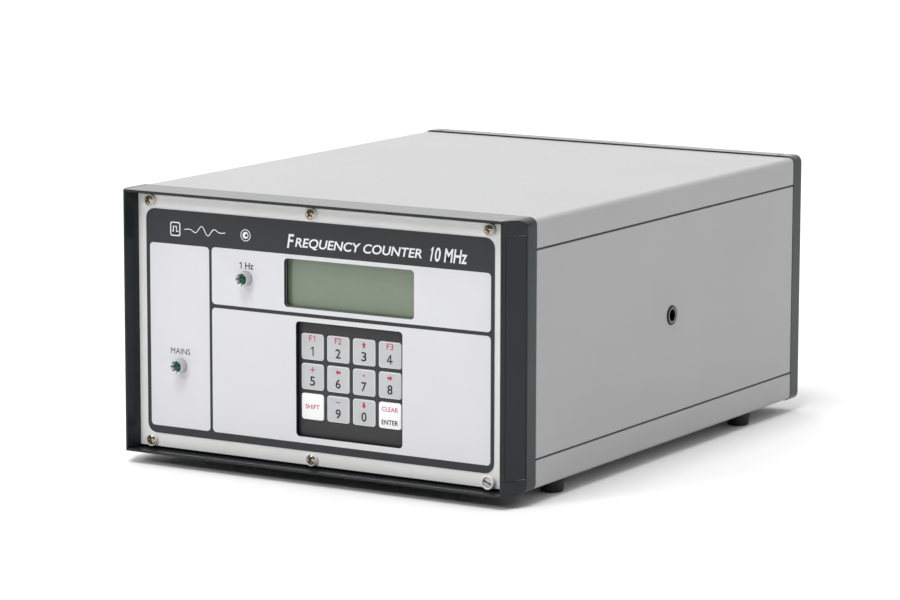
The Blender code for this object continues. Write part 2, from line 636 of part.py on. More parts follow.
def front_panel():
    """The metal panel and the printed film over it."""
    screws = [lifted(circle(SCREW_HOLE, (x, up * SCREW_Z), HOLE_STEPS))
              for x, _ in screw_columns() for up in (-1, 1)]
    outline = lifted(rectangle(PANEL_WIDTH, PANEL_HEIGHT))
    extrusion("front_panel", "XZ", (PANEL_Y, PANEL_BACK_Y), outline,
              openings(COLLAR_NECK) + screws, "satin_aluminium")
    film = lifted(rounded(FILM_WIDTH, FILM_HEIGHT, FILM_CORNER))
    film_back = PANEL_Y - HAIR_GAP
    extrusion("panel_overlay", "XZ", (film_back - FILM_THICKNESS, film_back), film,
              openings(COLLAR_RADIUS), "film_grey")


def panel_screws():
    """Cheese-head screws in plastic sleeves."""
    for up, row in ((1, "top"), (-1, "bottom")):
        for x, column in screw_columns():
            odd = up < 0 and column == "right"
            sleeve = ODD_SLEEVE_RADIUS if odd else SLEEVE_RADIUS
            sleeve_height = ODD_SLEEVE_HEIGHT if odd else SLEEVE_HEIGHT
            head = sleeve_height - SLEEVE_HEIGHT + HEAD_HEIGHT
            at = (x, PANEL_Y - HAIR_GAP, MID_Z + up * SCREW_Z)
            turned(f"panel_screw_{row}_{column}", "front", at, [
                (0, head), (HEAD_RADIUS * HEAD_FLAT, head), (HEAD_RADIUS, head - HEAD_ROUND),
                (HEAD_RADIUS, sleeve_height), (sleeve, sleeve_height), (sleeve, 0),
                (SCREW_RADIUS, 0), (SCREW_RADIUS, -SCREW_LENGTH), (0, -SCREW_LENGTH),
            ], "nickel", steps=16)


def display():
    """The display's glass in its dark frame, behind the window."""
    glass_y = PANEL_BACK_Y + GLASS_SETBACK
    centre = (DISPLAY_X, DISPLAY_Z)
    glass = lifted(rectangle(DISPLAY_WIDTH, DISPLAY_HEIGHT, centre))
    extrusion("display_glass", "XZ", (glass_y, glass_y + GLASS_THICKNESS), glass,
              material="display_glass")
    outer = lifted(rectangle(DISPLAY_WIDTH + 2 * DISPLAY_FRAME_MARGIN,
                             DISPLAY_HEIGHT + 2 * DISPLAY_FRAME_MARGIN, centre))
    inner = lifted(rectangle(DISPLAY_WIDTH + 2 * GAP, DISPLAY_HEIGHT + 2 * GAP, centre))
    frame_y = PANEL_BACK_Y + GAP
    extrusion("display_frame", "XZ", (frame_y, frame_y + DISPLAY_FRAME_THICKNESS), outer, [inner],
              "black_plastic")


def key_centres():
    """Each key's place from the panel's centre, row by row from the top left."""
    for row in range(KEY_ROWS):
        for column in range(KEY_COLUMNS):
            yield (KEYPAD_X + (column - (KEY_COLUMNS - 1) / 2) * KEY_PITCH_X,
                   FIRST_KEY_Z - row * KEY_PITCH_Z)


KEY_NAMES = ("1", "2", "3", "4", "5", "6", "7", "8", "shift", "9", "0", "enter")


def keypad():
    """Flat keys in a dark bezel that stands in the panel's opening."""
    bezel_y = PANEL_Y + KEYPAD_RECESS
    outer = lifted(rounded(KEYPAD_WIDTH - 2 * GAP, KEYPAD_HEIGHT - 2 * GAP, KEYPAD_CORNER - GAP,
                           (KEYPAD_X, KEYPAD_Z)))
    openings = [lifted(rounded(KEY_WIDTH + 2 * KEY_CLEARANCE, KEY_HEIGHT + 2 * KEY_CLEARANCE,
                               KEY_CORNER + KEY_CLEARANCE, centre)) for centre in key_centres()]
    extrusion("keypad_bezel", "XZ", (bezel_y, bezel_y + BEZEL_THICKNESS), outer, openings,
              "black_plastic")
    key_y = bezel_y - KEY_PROUD
    for name, centre in zip(KEY_NAMES, key_centres()):
        colour = "key_white" if name in ("shift", "enter") else "key_grey"
        outline = lifted(rounded(KEY_WIDTH, KEY_HEIGHT, KEY_CORNER, centre))
        extrusion(f"key_{name}", "XZ", (key_y, key_y + KEY_DEPTH), outline, material=colour)


def lamps():
    """Green lamps in bright collars."""
    for name, (x, z) in LAMP_PLACES.items():
        at = (x, PANEL_Y - HAIR_GAP, MID_Z + z)
        turned(f"lamp_collar_{name}", "front", at, [
            (COLLAR_MOUTH, COLLAR_REACH), (COLLAR_RADIUS - COLLAR_EDGE / 2, COLLAR_REACH),
            (COLLAR_RADIUS, COLLAR_REACH - COLLAR_EDGE), (COLLAR_RADIUS, 0), (COLLAR_NECK, 0),
            (COLLAR_NECK, -COLLAR_TAIL), (COLLAR_BORE, -COLLAR_TAIL),
            (COLLAR_BORE, COLLAR_REACH - COLLAR_CONE),
        ], "chrome", closed=True)
        shoulder = LAMP_TIP - LAMP_RADIUS
        dome = arc((0, shoulder), LAMP_RADIUS, 90, 0)
        turned(f"lamp_{name}", "front", at, [(abs(r), h) for r, h in dome[:-1]] + [
            (LAMP_RADIUS, shoulder), (LAMP_RADIUS, -LAMP_TAIL), (0, -LAMP_TAIL)], "green_lens")


# ---- Rear panel -----------------------------------------------------------------------------------


def serial_outline(margin=0.0):
    """The D shape of the serial connector's shell: its sides slope in towards the bottom."""
    w, h = SERIAL_WIDTH / 2 + margin, SERIAL_HEIGHT / 2 + margin
    lean = 2 * h * tan(radians(SERIAL_SLOPE))
    low, high = -SERIAL_DROP - h, -SERIAL_DROP + h
    return [(SERIAL_X - w, high), (SERIAL_X - w + lean, low), (SERIAL_X + w - lean, low),
            (SERIAL_X + w, high)]


def rear_panel():
    """The plate that carries the rear connectors."""
    inlet = rectangle(INLET_BODY_WIDTH + 2 * GAP, INLET_BODY_HEIGHT + 2 * GAP,
                      (INLET_X, INLET_RISE))
    sockets = [circle(BNC_RADIUS + HOLE_CLEARANCE, (x, BNC_RISE)) for x in BNC_PLACES.values()]
    post = circle(GROUND_STUD + HOLE_CLEARANCE, (GROUND_X, -SERIAL_DROP), HOLE_STEPS)
    holes = [lifted(hole) for hole in (inlet, serial_outline(GAP), post, *sockets)]
    extrusion("rear_panel", "XZ", (REAR_PANEL_Y - REAR_PANEL_THICKNESS, REAR_PANEL_Y),
              lifted(rectangle(2 * REAR_HALF_WIDTH, 2 * REAR_HALF_HEIGHT)), holes, "light_grey")


def mains_inlet():
    """A mains inlet with a switch and a fuse drawer in one moulding."""
    face = INLET_FACE_Y
    centre = (INLET_X, INLET_RISE)
    width, height = INLET_BODY_WIDTH, INLET_BODY_HEIGHT
    margin = 2 * INLET_FLANGE_MARGIN
    flange = lifted(rounded(width + margin, height + margin, INLET_CORNER, centre))
    inlet = extrusion("mains_inlet", "XZ", (REAR_PANEL_Y + HAIR_GAP, face), flange,
                      material="black_plastic")
    body = lifted(rectangle(width, height, centre))
    join(inlet, extrusion("inlet_body", "XZ", (REAR_PANEL_Y - INLET_BEHIND, face - GAP), body))

    socket = lifted(rounded(SOCKET_WIDTH, SOCKET_HEIGHT, SOCKET_CORNER, (INLET_X, SOCKET_Z)))
    cut(inlet, extrusion("inlet_socket", "XZ", (face - SOCKET_DEPTH, face + GAP), socket))
    slot = lifted(rectangle(DRAWER_WIDTH + 2 * GAP, DRAWER_HEIGHT + 2 * GAP, (INLET_X, DRAWER_Z)))
    cut(inlet, extrusion("drawer_slot", "XZ", (face - DRAWER_DEPTH - GAP, face + GAP), slot))
    well = lifted(rectangle(ROCKER_WIDTH + 2 * ROCKER_CLEARANCE, 2 * ROCKER_HALF,
                            (INLET_X, ROCKER_Z)))
    cut(inlet, extrusion("rocker_well", "XZ", (face - ROCKER_HALF, face + GAP), well))
    root = face - SOCKET_DEPTH
    for x, rise, name in ((-PIN_SPREAD, -1, "line"), (0, 1, "earth"), (PIN_SPREAD, -1, "neutral")):
        pin = lifted(rectangle(PIN_WIDTH, PIN_HEIGHT, (INLET_X + x, SOCKET_Z + rise * PIN_RISE)))
        join(inlet, extrusion(f"pin_{name}", "XZ", (root - GAP, root + PIN_LENGTH), pin))


def fuse_drawer():
    """A block that pulls straight out of the inlet by the notch in its lower edge."""
    face = INLET_FACE_Y
    drawer = extrusion("fuse_drawer", "XZ", (face - DRAWER_DEPTH, face + DRAWER_PROUD),
                       lifted(rectangle(DRAWER_WIDTH, DRAWER_HEIGHT, (INLET_X, DRAWER_Z))),
                       material="black_plastic")
    z = MID_Z + DRAWER_Z
    cut(drawer, block("drawer_grip", (INLET_X - DRAWER_WIDTH / 4, face, z - DRAWER_HEIGHT),
                      (INLET_X + DRAWER_WIDTH / 4, face + 2 * DRAWER_PROUD, z - DRAWER_HEIGHT / 4)))


def power_rocker():
    """A shallow V over a round belly, on an axis in the inlet's face, tipped to its off position."""
    tilt = radians(ROCKER_TILT)
    wing = (cos(tilt) * ROCKER_RADIUS, ROCKER_REACH + sin(tilt) * ROCKER_RADIUS)
    scale = ROCKER_RADIUS / hypot(*wing)
    wing = (wing[0] * scale, wing[1] * scale)
    belly = arc((0, 0), ROCKER_RADIUS, -90 + ROCKER_CHEEK, 90 - ROCKER_CHEEK, 2 * ARC_STEPS)
    # Points are (up, out of the face); the belly is the arc turned to face inwards.
    section = [wing, (0, ROCKER_REACH), (-wing[0], wing[1])] + [(v, -u) for u, v in belly]
    tipped = [(INLET_FACE_Y + out * cos(tilt) + up * sin(tilt),
               ROCKER_Z + up * cos(tilt) - out * sin(tilt)) for up, out in section]
    extrusion("power_rocker", "YZ", (INLET_X - ROCKER_WIDTH / 2, INLET_X + ROCKER_WIDTH / 2),
              lifted(tipped), material="black_plastic")


def coaxial_sockets():
    """Bayonet sockets: barrel, centre pin, fixing nut and two lugs."""
    for name, x in BNC_PLACES.items():
        at = (x, REAR_PANEL_Y + HAIR_GAP, MID_Z + BNC_RISE)
        floor, pin_end = BNC_LENGTH - BNC_BORE_DEPTH, BNC_LENGTH - BNC_PIN_SETBACK
        bore, nut = BNC_RADIUS - BNC_WALL, BNC_RADIUS + BNC_NUT_RIM
        socket = turned(f"socket_{name}", "rear", at, [
            (0, pin_end), (BNC_PIN, pin_end), (BNC_PIN, floor), (bore, floor),
            (bore, BNC_LENGTH), (BNC_RADIUS, BNC_LENGTH), (BNC_RADIUS, BNC_NUT_THICKNESS),
            (nut, BNC_NUT_THICKNESS), (nut, 0), (BNC_RADIUS, 0), (BNC_RADIUS, -BNC_TAIL),
            (0, -BNC_TAIL),
        ], "nickel")
        lug_y = REAR_PANEL_Y + BNC_LENGTH - BNC_LUG_FROM_END
        for side, way in ((-1, "left"), (1, "right")):
            root = (x + side * (BNC_RADIUS - BNC_WALL / 2), lug_y, MID_Z + BNC_RISE)
            length = BNC_LUG_REACH + BNC_WALL / 2
            join(socket, turned(f"lug_{name}_{way}", way, root, [
                (0, length), (BNC_LUG_RADIUS, length), (BNC_LUG_RADIUS, 0), (0, 0)], steps=8))


def serial_connector():
    """A nine-way connector: flange, sloped shell and two hexagon nuts."""
    face = REAR_PANEL_Y + HAIR_GAP
    flange = lifted(rounded(SERIAL_WIDTH + 2 * SERIAL_FLANGE_SIDE,
                            SERIAL_HEIGHT + 2 * SERIAL_FLANGE_END, SERIAL_FLANGE_CORNER,
                            (SERIAL_X, -SERIAL_DROP)))
    connector = extrusion("serial_connector", "XZ", (face, face + SERIAL_FLANGE_THICKNESS), flange,
                          material="zinc_steel")
    join(connector, extrusion("serial_shell", "XZ", (face - SERIAL_BEHIND, face + SERIAL_REACH),
                              lifted(serial_outline())))
    for side, word in ((-1, "left"), (1, "right")):
        nut_x = SERIAL_X + side * (SERIAL_WIDTH / 2 + SERIAL_NUT_SPACE)
        at = (nut_x, face, MID_Z - SERIAL_DROP)
        join(connector, turned(f"serial_nut_{word}", "rear", at, [
            (0, SERIAL_NUT_REACH), (SERIAL_NUT_RADIUS, SERIAL_NUT_REACH),
            (SERIAL_NUT_RADIUS, SERIAL_FLANGE_THICKNESS / 2), (0, SERIAL_FLANGE_THICKNESS / 2),
        ], steps=6))


def ground_post():
    """A stud with a round nut."""
    at = (GROUND_X, REAR_PANEL_Y + HAIR_GAP, MID_Z - SERIAL_DROP)
    turned("ground_post", "rear", at, [
        (0, GROUND_REACH), (GROUND_STUD, GROUND_REACH), (GROUND_STUD, GROUND_NUT_HEIGHT),
        (GROUND_NUT, GROUND_NUT_HEIGHT), (GROUND_NUT, 0), (GROUND_STUD, 0),
        (GROUND_STUD, -GROUND_TAIL), (0, -GROUND_TAIL),
    ], "brass")


# ---- Inside ---------------------------------------------------------------------------------------


def board_holes(width, height, centre):
    x, y = width / 2 - BOARD_HOLE_INSET, height / 2 - BOARD_HOLE_INSET
    return [circle(BOARD_HOLE, (centre[0] + sx * x, centre[1] + sy * y), HOLE_STEPS)
            for sx in (-1, 1) for sy in (-1, 1)]


def display_board():
    """The board behind the display and the keys."""
    keys_back = PANEL_Y + KEYPAD_RECESS - KEY_PROUD + KEY_DEPTH + KEY_TRAVEL
    board_y = max(keys_back + BOARD_GAP, PANEL_BACK_Y + GAP + DISPLAY_FRAME_THICKNESS + GAP)
    width = DISPLAY_WIDTH + 2 * (DISPLAY_FRAME_MARGIN + DISPLAY_BOARD_SIDE)
    low = KEYPAD_Z - KEYPAD_HEIGHT / 2 - DISPLAY_BOARD_END
    high = DISPLAY_Z + DISPLAY_HEIGHT / 2 + DISPLAY_BOARD_END
    centre = (DISPLAY_X, (low + high) / 2)
    holes = [lifted(hole) for hole in board_holes(width, high - low, centre)]
    extrusion("display_board", "XZ", (board_y, board_y + BOARD_THICKNESS),
              lifted(rectangle(width, high - low, centre)), holes, "circuit_board")


def inside():
    """Main board, power supply and reference oscillator, over the bottom cover."""
    floor = FOOT_HEIGHT + COVER_THICKNESS
    depth_mid = SIDE_MID_Y
    width, length, height = SUPPLY_SIZE
    supply_x = SIDE_INNER_X - SUPPLY_SIDE - width / 2
    block("power_supply", (supply_x - width / 2, depth_mid - length / 2, floor + GAP),
          (supply_x + width / 2, depth_mid + length / 2, floor + GAP + height), "zinc_steel")

    board_z = floor + MAIN_BOARD_HEIGHT
    left = MAIN_BOARD_SIDE - SIDE_INNER_X
    right = supply_x - width / 2 - SUPPLY_SPACE
    board_length = COVER_LENGTH - 2 * MAIN_BOARD_END
    centre = ((left + right) / 2, depth_mid)
    extrusion("main_board", "XY", (board_z, board_z + BOARD_THICKNESS),
              rectangle(right - left, board_length, centre),
              board_holes(right - left, board_length, centre), "circuit_board")

    width, length, height = OSCILLATOR_SIZE
    x = left + OSCILLATOR_FROM_EDGE
    base = board_z + BOARD_THICKNESS + GAP
    block("oscillator_module", (x - width / 2, depth_mid - length / 2, base),
          (x + width / 2, depth_mid + length / 2, base + height), "zinc_steel")


# ---- Model ----------------------------------------------------------------------------------------

for old in list(bpy.data.objects):
    bpy.data.objects.remove(old, do_unlink=True)

PARTS = bpy.data.collections.new("frequency_counter")
CUTTERS = bpy.data.collections.new("cutters")
for group in (PARTS, CUTTERS):
    bpy.context.scene.collection.children.link(group)

front_posts()
front_rails()
rear_frame()
covers()
side_panels()
feet()
front_panel()
panel_screws()
display()
keypad()
lamps()
rear_panel()
mains_inlet()
fuse_drawer()
power_rocker()
coaxial_sockets()
serial_connector()
ground_post()
display_board()
inside()
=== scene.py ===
"""Looks of a bench frequency counter: painted frame and covers, printed film, keys, lamps, screws
and rear fittings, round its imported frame. Metres; +X right, +Y to the rear, +Z up."""
from math import atan2, cos, hypot, pi, radians, sin

import bmesh
import bpy
import numpy as np
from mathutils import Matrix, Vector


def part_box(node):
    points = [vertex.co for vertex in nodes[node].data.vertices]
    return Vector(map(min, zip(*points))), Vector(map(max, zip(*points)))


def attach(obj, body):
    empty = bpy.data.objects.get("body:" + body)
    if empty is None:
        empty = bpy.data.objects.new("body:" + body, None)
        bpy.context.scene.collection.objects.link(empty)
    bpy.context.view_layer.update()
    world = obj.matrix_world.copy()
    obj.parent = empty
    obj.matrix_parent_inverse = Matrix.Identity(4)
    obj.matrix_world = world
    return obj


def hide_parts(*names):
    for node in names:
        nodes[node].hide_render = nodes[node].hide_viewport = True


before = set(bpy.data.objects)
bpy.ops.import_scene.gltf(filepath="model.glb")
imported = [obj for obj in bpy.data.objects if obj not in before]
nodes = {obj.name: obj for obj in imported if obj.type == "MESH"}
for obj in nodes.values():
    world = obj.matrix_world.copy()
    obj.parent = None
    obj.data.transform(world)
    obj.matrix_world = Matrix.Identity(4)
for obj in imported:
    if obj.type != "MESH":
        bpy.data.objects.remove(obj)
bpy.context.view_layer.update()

# The right, the up and the way out of each side of the object.
FRONT = ((1, 0, 0), (0, 0, 1), (0, -1, 0))
REAR = ((-1, 0, 0), (0, 0, 1), (0, 1, 0))
TOP = ((1, 0, 0), (0, 1, 0), (0, 0, 1))
RIGHT = ((0, 1, 0), (0, 0, 1), (1, 0, 0))
LEFT = ((0, -1, 0), (0, 0, 1), (-1, 0, 0))
SIDES = ((-1, "left"), (1, "right"))

INK = 0.00003                   # thickness of a print
SMOOTH_UNDER = radians(32)      # a sharper edge than this is drawn sharp
BEVEL_OVER = radians(30)        # and a sharper one than this is bevelled

# ---- Finishes -----------------------------------------------------------------------------------


def tone(red, green, blue):
    """Display values from 0 to 255 as the linear colour that shaders take."""
    return tuple(v / 12.92 if v <= 0.04045 else ((v + 0.055) / 1.055) ** 2.4
                 for v in (red / 255, green / 255, blue / 255)) + (1.0,)


def node(tree, kind, inputs=None, **settings):
    """A shader node with its settings, and its inputs each linked to a socket or set to a value.
    Inputs go by name, or by number where names repeat."""
    made = tree.nodes.new(kind)
    for key, value in settings.items():
        setattr(made, key, value)
    for key, value in (inputs or {}).items():
        if isinstance(value, bpy.types.NodeSocket):
            tree.links.new(value, made.inputs[key])
        else:
            made.inputs[key].default_value = value
    return made


def mixed(tree, factor, first, second):
    """Colour between two, by a factor."""
    return node(tree, "ShaderNodeMix", {"Factor": factor, 6: first, 7: second},
                data_type="RGBA").outputs[2]


def spread(tree, value, low, high, start=0.3, end=0.7):
    """A noise value stretched from start..end to low..high."""
    return node(tree, "ShaderNodeMapRange", {"Value": value, "From Min": start, "From Max": end,
                                             "To Min": low, "To Max": high}).outputs["Result"]


def finish(name, colour, rough, metal=0.0, shade=0.05, cloud=35, grain=2500, depth=10,
           rough_spread=0.05, stretch=(1, 1, 1), **sockets):
    """A finish from a colour in display values. The colour drifts by shade with a broad noise. The
    roughness and a bump of some micrometres follow a fine noise, which stretch lengthens along an
    axis, as brushing does."""
    material = bpy.data.materials.new(name)
    material.use_nodes = True
    tree = material.node_tree
    shader = tree.nodes["Principled BSDF"]
    place = node(tree, "ShaderNodeTexCoord").outputs["Object"]
    broad = node(tree, "ShaderNodeTexNoise", {"Vector": place, "Scale": cloud, "Detail": 3.0})
    drawn = node(tree, "ShaderNodeMapping", {"Vector": place, "Scale": stretch}).outputs["Vector"]
    fine = node(tree, "ShaderNodeTexNoise", {"Vector": drawn, "Scale": grain, "Detail": 2.0})
    linear = tone(*colour)[:3]
    darker = tuple(c * (1 - shade) for c in linear) + (1.0,)
    lighter = tuple(min(c * (1 + shade), 1) for c in linear) + (1.0,)
    drift = spread(tree, broad.outputs["Fac"], 0, 1)
    tree.links.new(mixed(tree, drift, darker, lighter), shader.inputs["Base Color"])
    rough_value = spread(tree, fine.outputs["Fac"], max(rough - rough_spread, 0.02),
                         min(rough + rough_spread, 1))
    tree.links.new(rough_value, shader.inputs["Roughness"])
    bump = node(tree, "ShaderNodeBump", {"Height": fine.outputs["Fac"], "Distance": depth * 1e-6,
                                         "Strength": 1.0})
    tree.links.new(bump.outputs["Normal"], shader.inputs["Normal"])
    shader.inputs["Metallic"].default_value = metal
    for key, value in sockets.items():
        shader.inputs[key.replace("_", " ")].default_value = value
    return material


FINISHES = {
    "frame_paint": finish("anthracite_paint", (36, 39, 41), 0.2, shade=0.06, grain=1800, depth=8,
                          Specular_IOR_Level=0.25),
    "cover_paint": finish("light_grey_paint", (169, 169, 170), 0.42, shade=0.02, cloud=18,
                          grain=1500, depth=8, rough_spread=0.06),
    "panel_metal": finish("satin_panel", (222, 222, 221), 0.42, metal=0.15, shade=0.03, grain=900,
                          depth=6, stretch=(0.08, 1, 1)),
    "film_dark": finish("dark_film_print", (46, 49, 52), 0.36, shade=0.03, grain=3000,
                        Specular_IOR_Level=0.3),
    "film_light": finish("light_film_print", (214, 214, 216), 0.46, shade=0.012, grain=3000),
    "nickel": finish("nickel_plate", (176, 164, 152), 0.2, metal=1.0, shade=0.08, cloud=300,
                     grain=4000, depth=4),
    "zinc": finish("dull_zinc", (186, 188, 190), 0.34, metal=1.0, shade=0.1, cloud=300, grain=3000,
                   depth=4),
    "sleeve": finish("nylon_sleeve", (222, 220, 212), 0.38, shade=0.04, cloud=200, depth=6),
    "display": finish("display_window", (111, 126, 105), 0.3, cloud=26, depth=2, Coat_Weight=0.7,
                      Coat_Roughness=0.06),
    "black_plastic": finish("black_plastic", (30, 30, 31), 0.5, shade=0.08, grain=2600, depth=20),
    "bezel": finish("keypad_membrane", (45, 45, 46), 0.5, shade=0.08, grain=2200, depth=18),
    "key_edge": finish("key_body", (218, 219, 220), 0.42, shade=0.02, grain=2600, depth=8),
    "key_grey": finish("grey_key_face", (190, 192, 194), 0.45, shade=0.03, cloud=120, grain=2600,
                       depth=12),
    "key_white": finish("white_key_face", (246, 246, 246), 0.42, shade=0.01, grain=2600, depth=8),
    "red_ink": finish("red_ink", (186, 32, 54), 0.5, grain=3000, depth=4),
    "black_ink": finish("black_ink", (16, 17, 18), 0.5, grain=3000, depth=4),
    "white_ink": finish("white_ink", (232, 233, 235), 0.5, shade=0.02, grain=3000, depth=4),
    "chrome": finish("bright_collar", (196, 196, 197), 0.34, metal=0.35, shade=0.03, cloud=300,
                     grain=3500, depth=3),
    # Near-white painted reflection: the bright surroundings as a polished cone and rim would show
    # them.
    "painted_reflection_cone": finish("painted_reflection_white", (246, 247, 247), 0.3, metal=0.1, shade=0.02, cloud=300,
                        grain=3500, depth=3),
    # Painted glints: the lens's colour speckles strongly on a fine noise, for the sparkle of a
    # faceted lens.
    "lens": finish("green_lens", (0, 72, 52), 0.12, shade=0.5, cloud=900, grain=3000, depth=2,
                   rough_spread=0.03, Specular_IOR_Level=0.4),
    # Painted highlight: a pale line where an edge would catch the light, at the ends of the trim
    # strips and round the display's window.
    "painted_highlight_line": finish("painted_edge_highlight", (176, 180, 184), 0.35, shade=0.1, grain=2600, depth=6),
    # Near-black painted shade: it lines the walls of the keypad's opening and the floor of each
    # side bush's bore, and its strips in the lamps' cones are painted dark reflections.
    "liner": finish("painted_shade_and_reflection", (11, 11, 12), 0.6, shade=0.1, grain=2600,
                    Specular_IOR_Level=0.25),
    "rubber": finish("black_rubber", (26, 26, 26), 0.7, shade=0.15, grain=1600, depth=30),
    # Painted shade: a dark strip in the seams beside the side panels, where the gap falls dark.
    "painted_seam_shade": finish("seam_shade_black", (30, 31, 32), 0.6, shade=0.1, grain=1600),
    "bush_grey": finish("grey_bush_moulding", (104, 106, 108), 0.4, shade=0.06, grain=2400),
    "bush_rim": finish("black_bush_rim", (16, 16, 17), 0.4, shade=0.08, grain=2600,
                       Specular_IOR_Level=0.25),
    "steel": finish("pressed_steel", (188, 190, 192), 0.3, metal=1.0, shade=0.06, cloud=120,
                    depth=5),
    "brass": finish("brass", (196, 160, 92), 0.26, metal=1.0, shade=0.08, cloud=200, depth=4),
    "gold": finish("gilt_contact", (214, 178, 96), 0.2, metal=1.0, cloud=300, grain=3000, depth=2),
    "board": finish("green_solder_mask", (24, 92, 58), 0.35, shade=0.12, cloud=90, grain=1200,
                    depth=20),
    "module_metal": finish("folded_zinc_sheet", (170, 172, 174), 0.38, metal=1.0, shade=0.1,
                           cloud=60, grain=900, depth=6, stretch=(1, 0.1, 1)),
    # The display surround's own dark grey, also laid on the walls of the display's opening as
    # painted shade.
    "display_mask_and_painted_shade": finish("display_surround_and_painted_shade", (52, 54, 54), 0.5, shade=0.06, grain=2400),
}

# ---- Mesh tools ---------------------------------------------------------------------------------


def grid_faces(rows, columns, loop):
    """Four-cornered faces of a grid. Its columns wrap round, and in a loop its rows do too."""
    i = np.arange(rows if loop else rows - 1)[:, None]
    j = np.arange(columns)[None, :]
    here, below, after = i * columns, (i + 1) % rows * columns, (j + 1) % columns
    return np.stack([here + j, here + after, below + after, below + j], -1).reshape(-1, 4)


def placed(points, centre, axes):
    """Points (a, b, c) put at centre + a * right + b * up + c * out."""
    return np.asarray(points, float) @ np.asarray(axes, float) + np.asarray(centre, float)


def outward(points, faces):
    """The faces, turned round where the volume they enclose, summed over fans, is negative."""
    total = 0.0
    for face in faces:
        corners = points[np.asarray(face)]
        total += np.einsum("ij,ij->", np.cross(corners[1:-1], corners[2:]),
                           np.broadcast_to(corners[0], corners[2:].shape))
    return faces if total > 0 else [tuple(reversed(tuple(face))) for face in faces]


def piece(name, meshes, body="case", stands_for=()):
    """One object from (points, faces, finish) parts, on a body. It may stand for CAD nodes."""
    points, faces, finishes, index, start = [], [], [], [], 0
    for part_points, part_faces, part_finish in meshes:
        if part_finish not in finishes:
            finishes.append(part_finish)
        index += [finishes.index(part_finish)] * len(part_faces)
        faces += [tuple(int(corner) + start for corner in face) for face in part_faces]
        points.append(np.asarray(part_points, float))
        start += len(part_points)
    mesh = bpy.data.meshes.new(name)
    mesh.from_pydata(np.concatenate(points).tolist(), [], faces)
    mesh.polygons.foreach_set("material_index", index)
    for used in finishes:
        mesh.materials.append(FINISHES[used])
    joined = bmesh.new()
    joined.from_mesh(mesh)
    bmesh.ops.remove_doubles(joined, verts=joined.verts, dist=1e-7)
    bmesh.ops.dissolve_degenerate(joined, edges=joined.edges, dist=1e-7)
    joined.to_mesh(mesh)
    joined.free()
    mesh.polygons.foreach_set("use_smooth", [True] * len(mesh.polygons))
    mesh.set_sharp_from_angle(angle=SMOOTH_UNDER)
    made = bpy.data.objects.new(name, mesh)
    bpy.context.scene.collection.objects.link(made)
    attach(made, body)
    if stands_for:
        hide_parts(*stands_for)
    return made


def skin(rings, finish_name, loop=False):
    """A surface through rings, an array of (ring, point, 3). Flat caps close the ends, unless the
    rings loop round to the first."""
    rows, columns = rings.shape[:2]
    points = rings.reshape(-1, 3)
    faces = [tuple(face) for face in grid_faces(rows, columns, loop).tolist()]
    if not loop:
        faces.append(tuple(range(columns))[::-1])
        faces.append(tuple(range((rows - 1) * columns, rows * columns)))
    return points, outward(points, faces), finish_name


def turned(profile, centre, axes, finish_name, steps=64, loop=False, shape=None):
    """A profile of (radius, height) turned about `out`: right * r cos t + up * r sin t + out * h.
    shape(t) scales the radius with the angle, as for a nut's flats."""
    profile = np.asarray(profile, float)
    t = np.linspace(0, 2 * pi, steps, endpoint=False)[None, :]
    radius = profile[:, :1] * (shape(t) if shape else np.ones_like(t))
    height = np.broadcast_to(profile[:, 1:], radius.shape)
    rings = placed(np.stack([radius * np.cos(t), radius * np.sin(t), height], -1), centre, axes)
    return skin(rings, finish_name, loop)


def rounded(width, height, corner, steps=6, at=(0, 0)):
    """Outline of a rectangle round a place, with round corners: each is its centre plus a quarter
    circle."""
    corner = min(corner, width / 2, height / 2)
    t = np.linspace(0, pi / 2, steps + 1)[None, :] + np.arange(4)[:, None] * pi / 2
    sides = np.array([(1, 1), (-1, 1), (-1, -1), (1, -1)])
    centres = sides * (width / 2 - corner, height / 2 - corner)
    arcs = centres[:, None, :] + corner * np.stack([np.cos(t), np.sin(t)], -1)
    return arcs.reshape(-1, 2) + at


def nested(width, height, corner, insets, at):
    """Outlines of a rounded rectangle, drawn in by each inset."""
    return [rounded(width - 2 * inset, height - 2 * inset, corner, at=at) for inset in insets]


def circle(radius, x=0.0, z=0.0, steps=48):
    """Outline of a circle round a place."""
    t = np.linspace(0, 2 * pi, steps, endpoint=False)
    return np.column_stack([x + radius * np.cos(t), z + radius * np.sin(t)])


def pillow(width, height, corner, profile, centre, axes, finish_name):
    """A rounded rectangle carried along a profile of (inset, height). Each ring is the outline,
    drawn in by the inset and raised to the height."""
    rings = []
    for inset, level in profile:
        ring = rounded(width - 2 * inset, height - 2 * inset, max(corner - inset, 0.00005), 8)
        rings.append(np.column_stack([ring, np.full(len(ring), level)]))
    return skin(placed(np.array(rings), centre, axes), finish_name)


def drawn_along(section, path, finish_name):
    """A closed section of (a, b) points repeated along a straight path: start + a * u + b * v, for
    the (start, u, v) rows of the path."""
    section = np.asarray(section, float)
    rings = [np.asarray(start) + section[:, :1] * np.asarray(u) + section[:, 1:] * np.asarray(v)
             for start, u, v in path]
    return skin(np.array(rings), finish_name)


def softened_corners(corners, radius, steps=3):
    """A polygon with each corner cut back by a curve of (1-s)^2 a + 2s(1-s) corner + s^2 b."""
    corners = np.asarray(corners, float)
    before, after = np.roll(corners, 1, 0) - corners, np.roll(corners, -1, 0) - corners
    back = np.minimum(radius, np.linalg.norm(before, axis=1, keepdims=True) * 0.45)
    on = np.minimum(radius, np.linalg.norm(after, axis=1, keepdims=True) * 0.45)
    a = corners + before / np.linalg.norm(before, axis=1, keepdims=True) * back
    b = corners + after / np.linalg.norm(after, axis=1, keepdims=True) * on
    s = np.linspace(0, 1, steps + 1)[None, :, None]
    return ((1 - s) ** 2 * a[:, None] + 2 * s * (1 - s) * corners[:, None]
            + s ** 2 * b[:, None]).reshape(-1, 2)


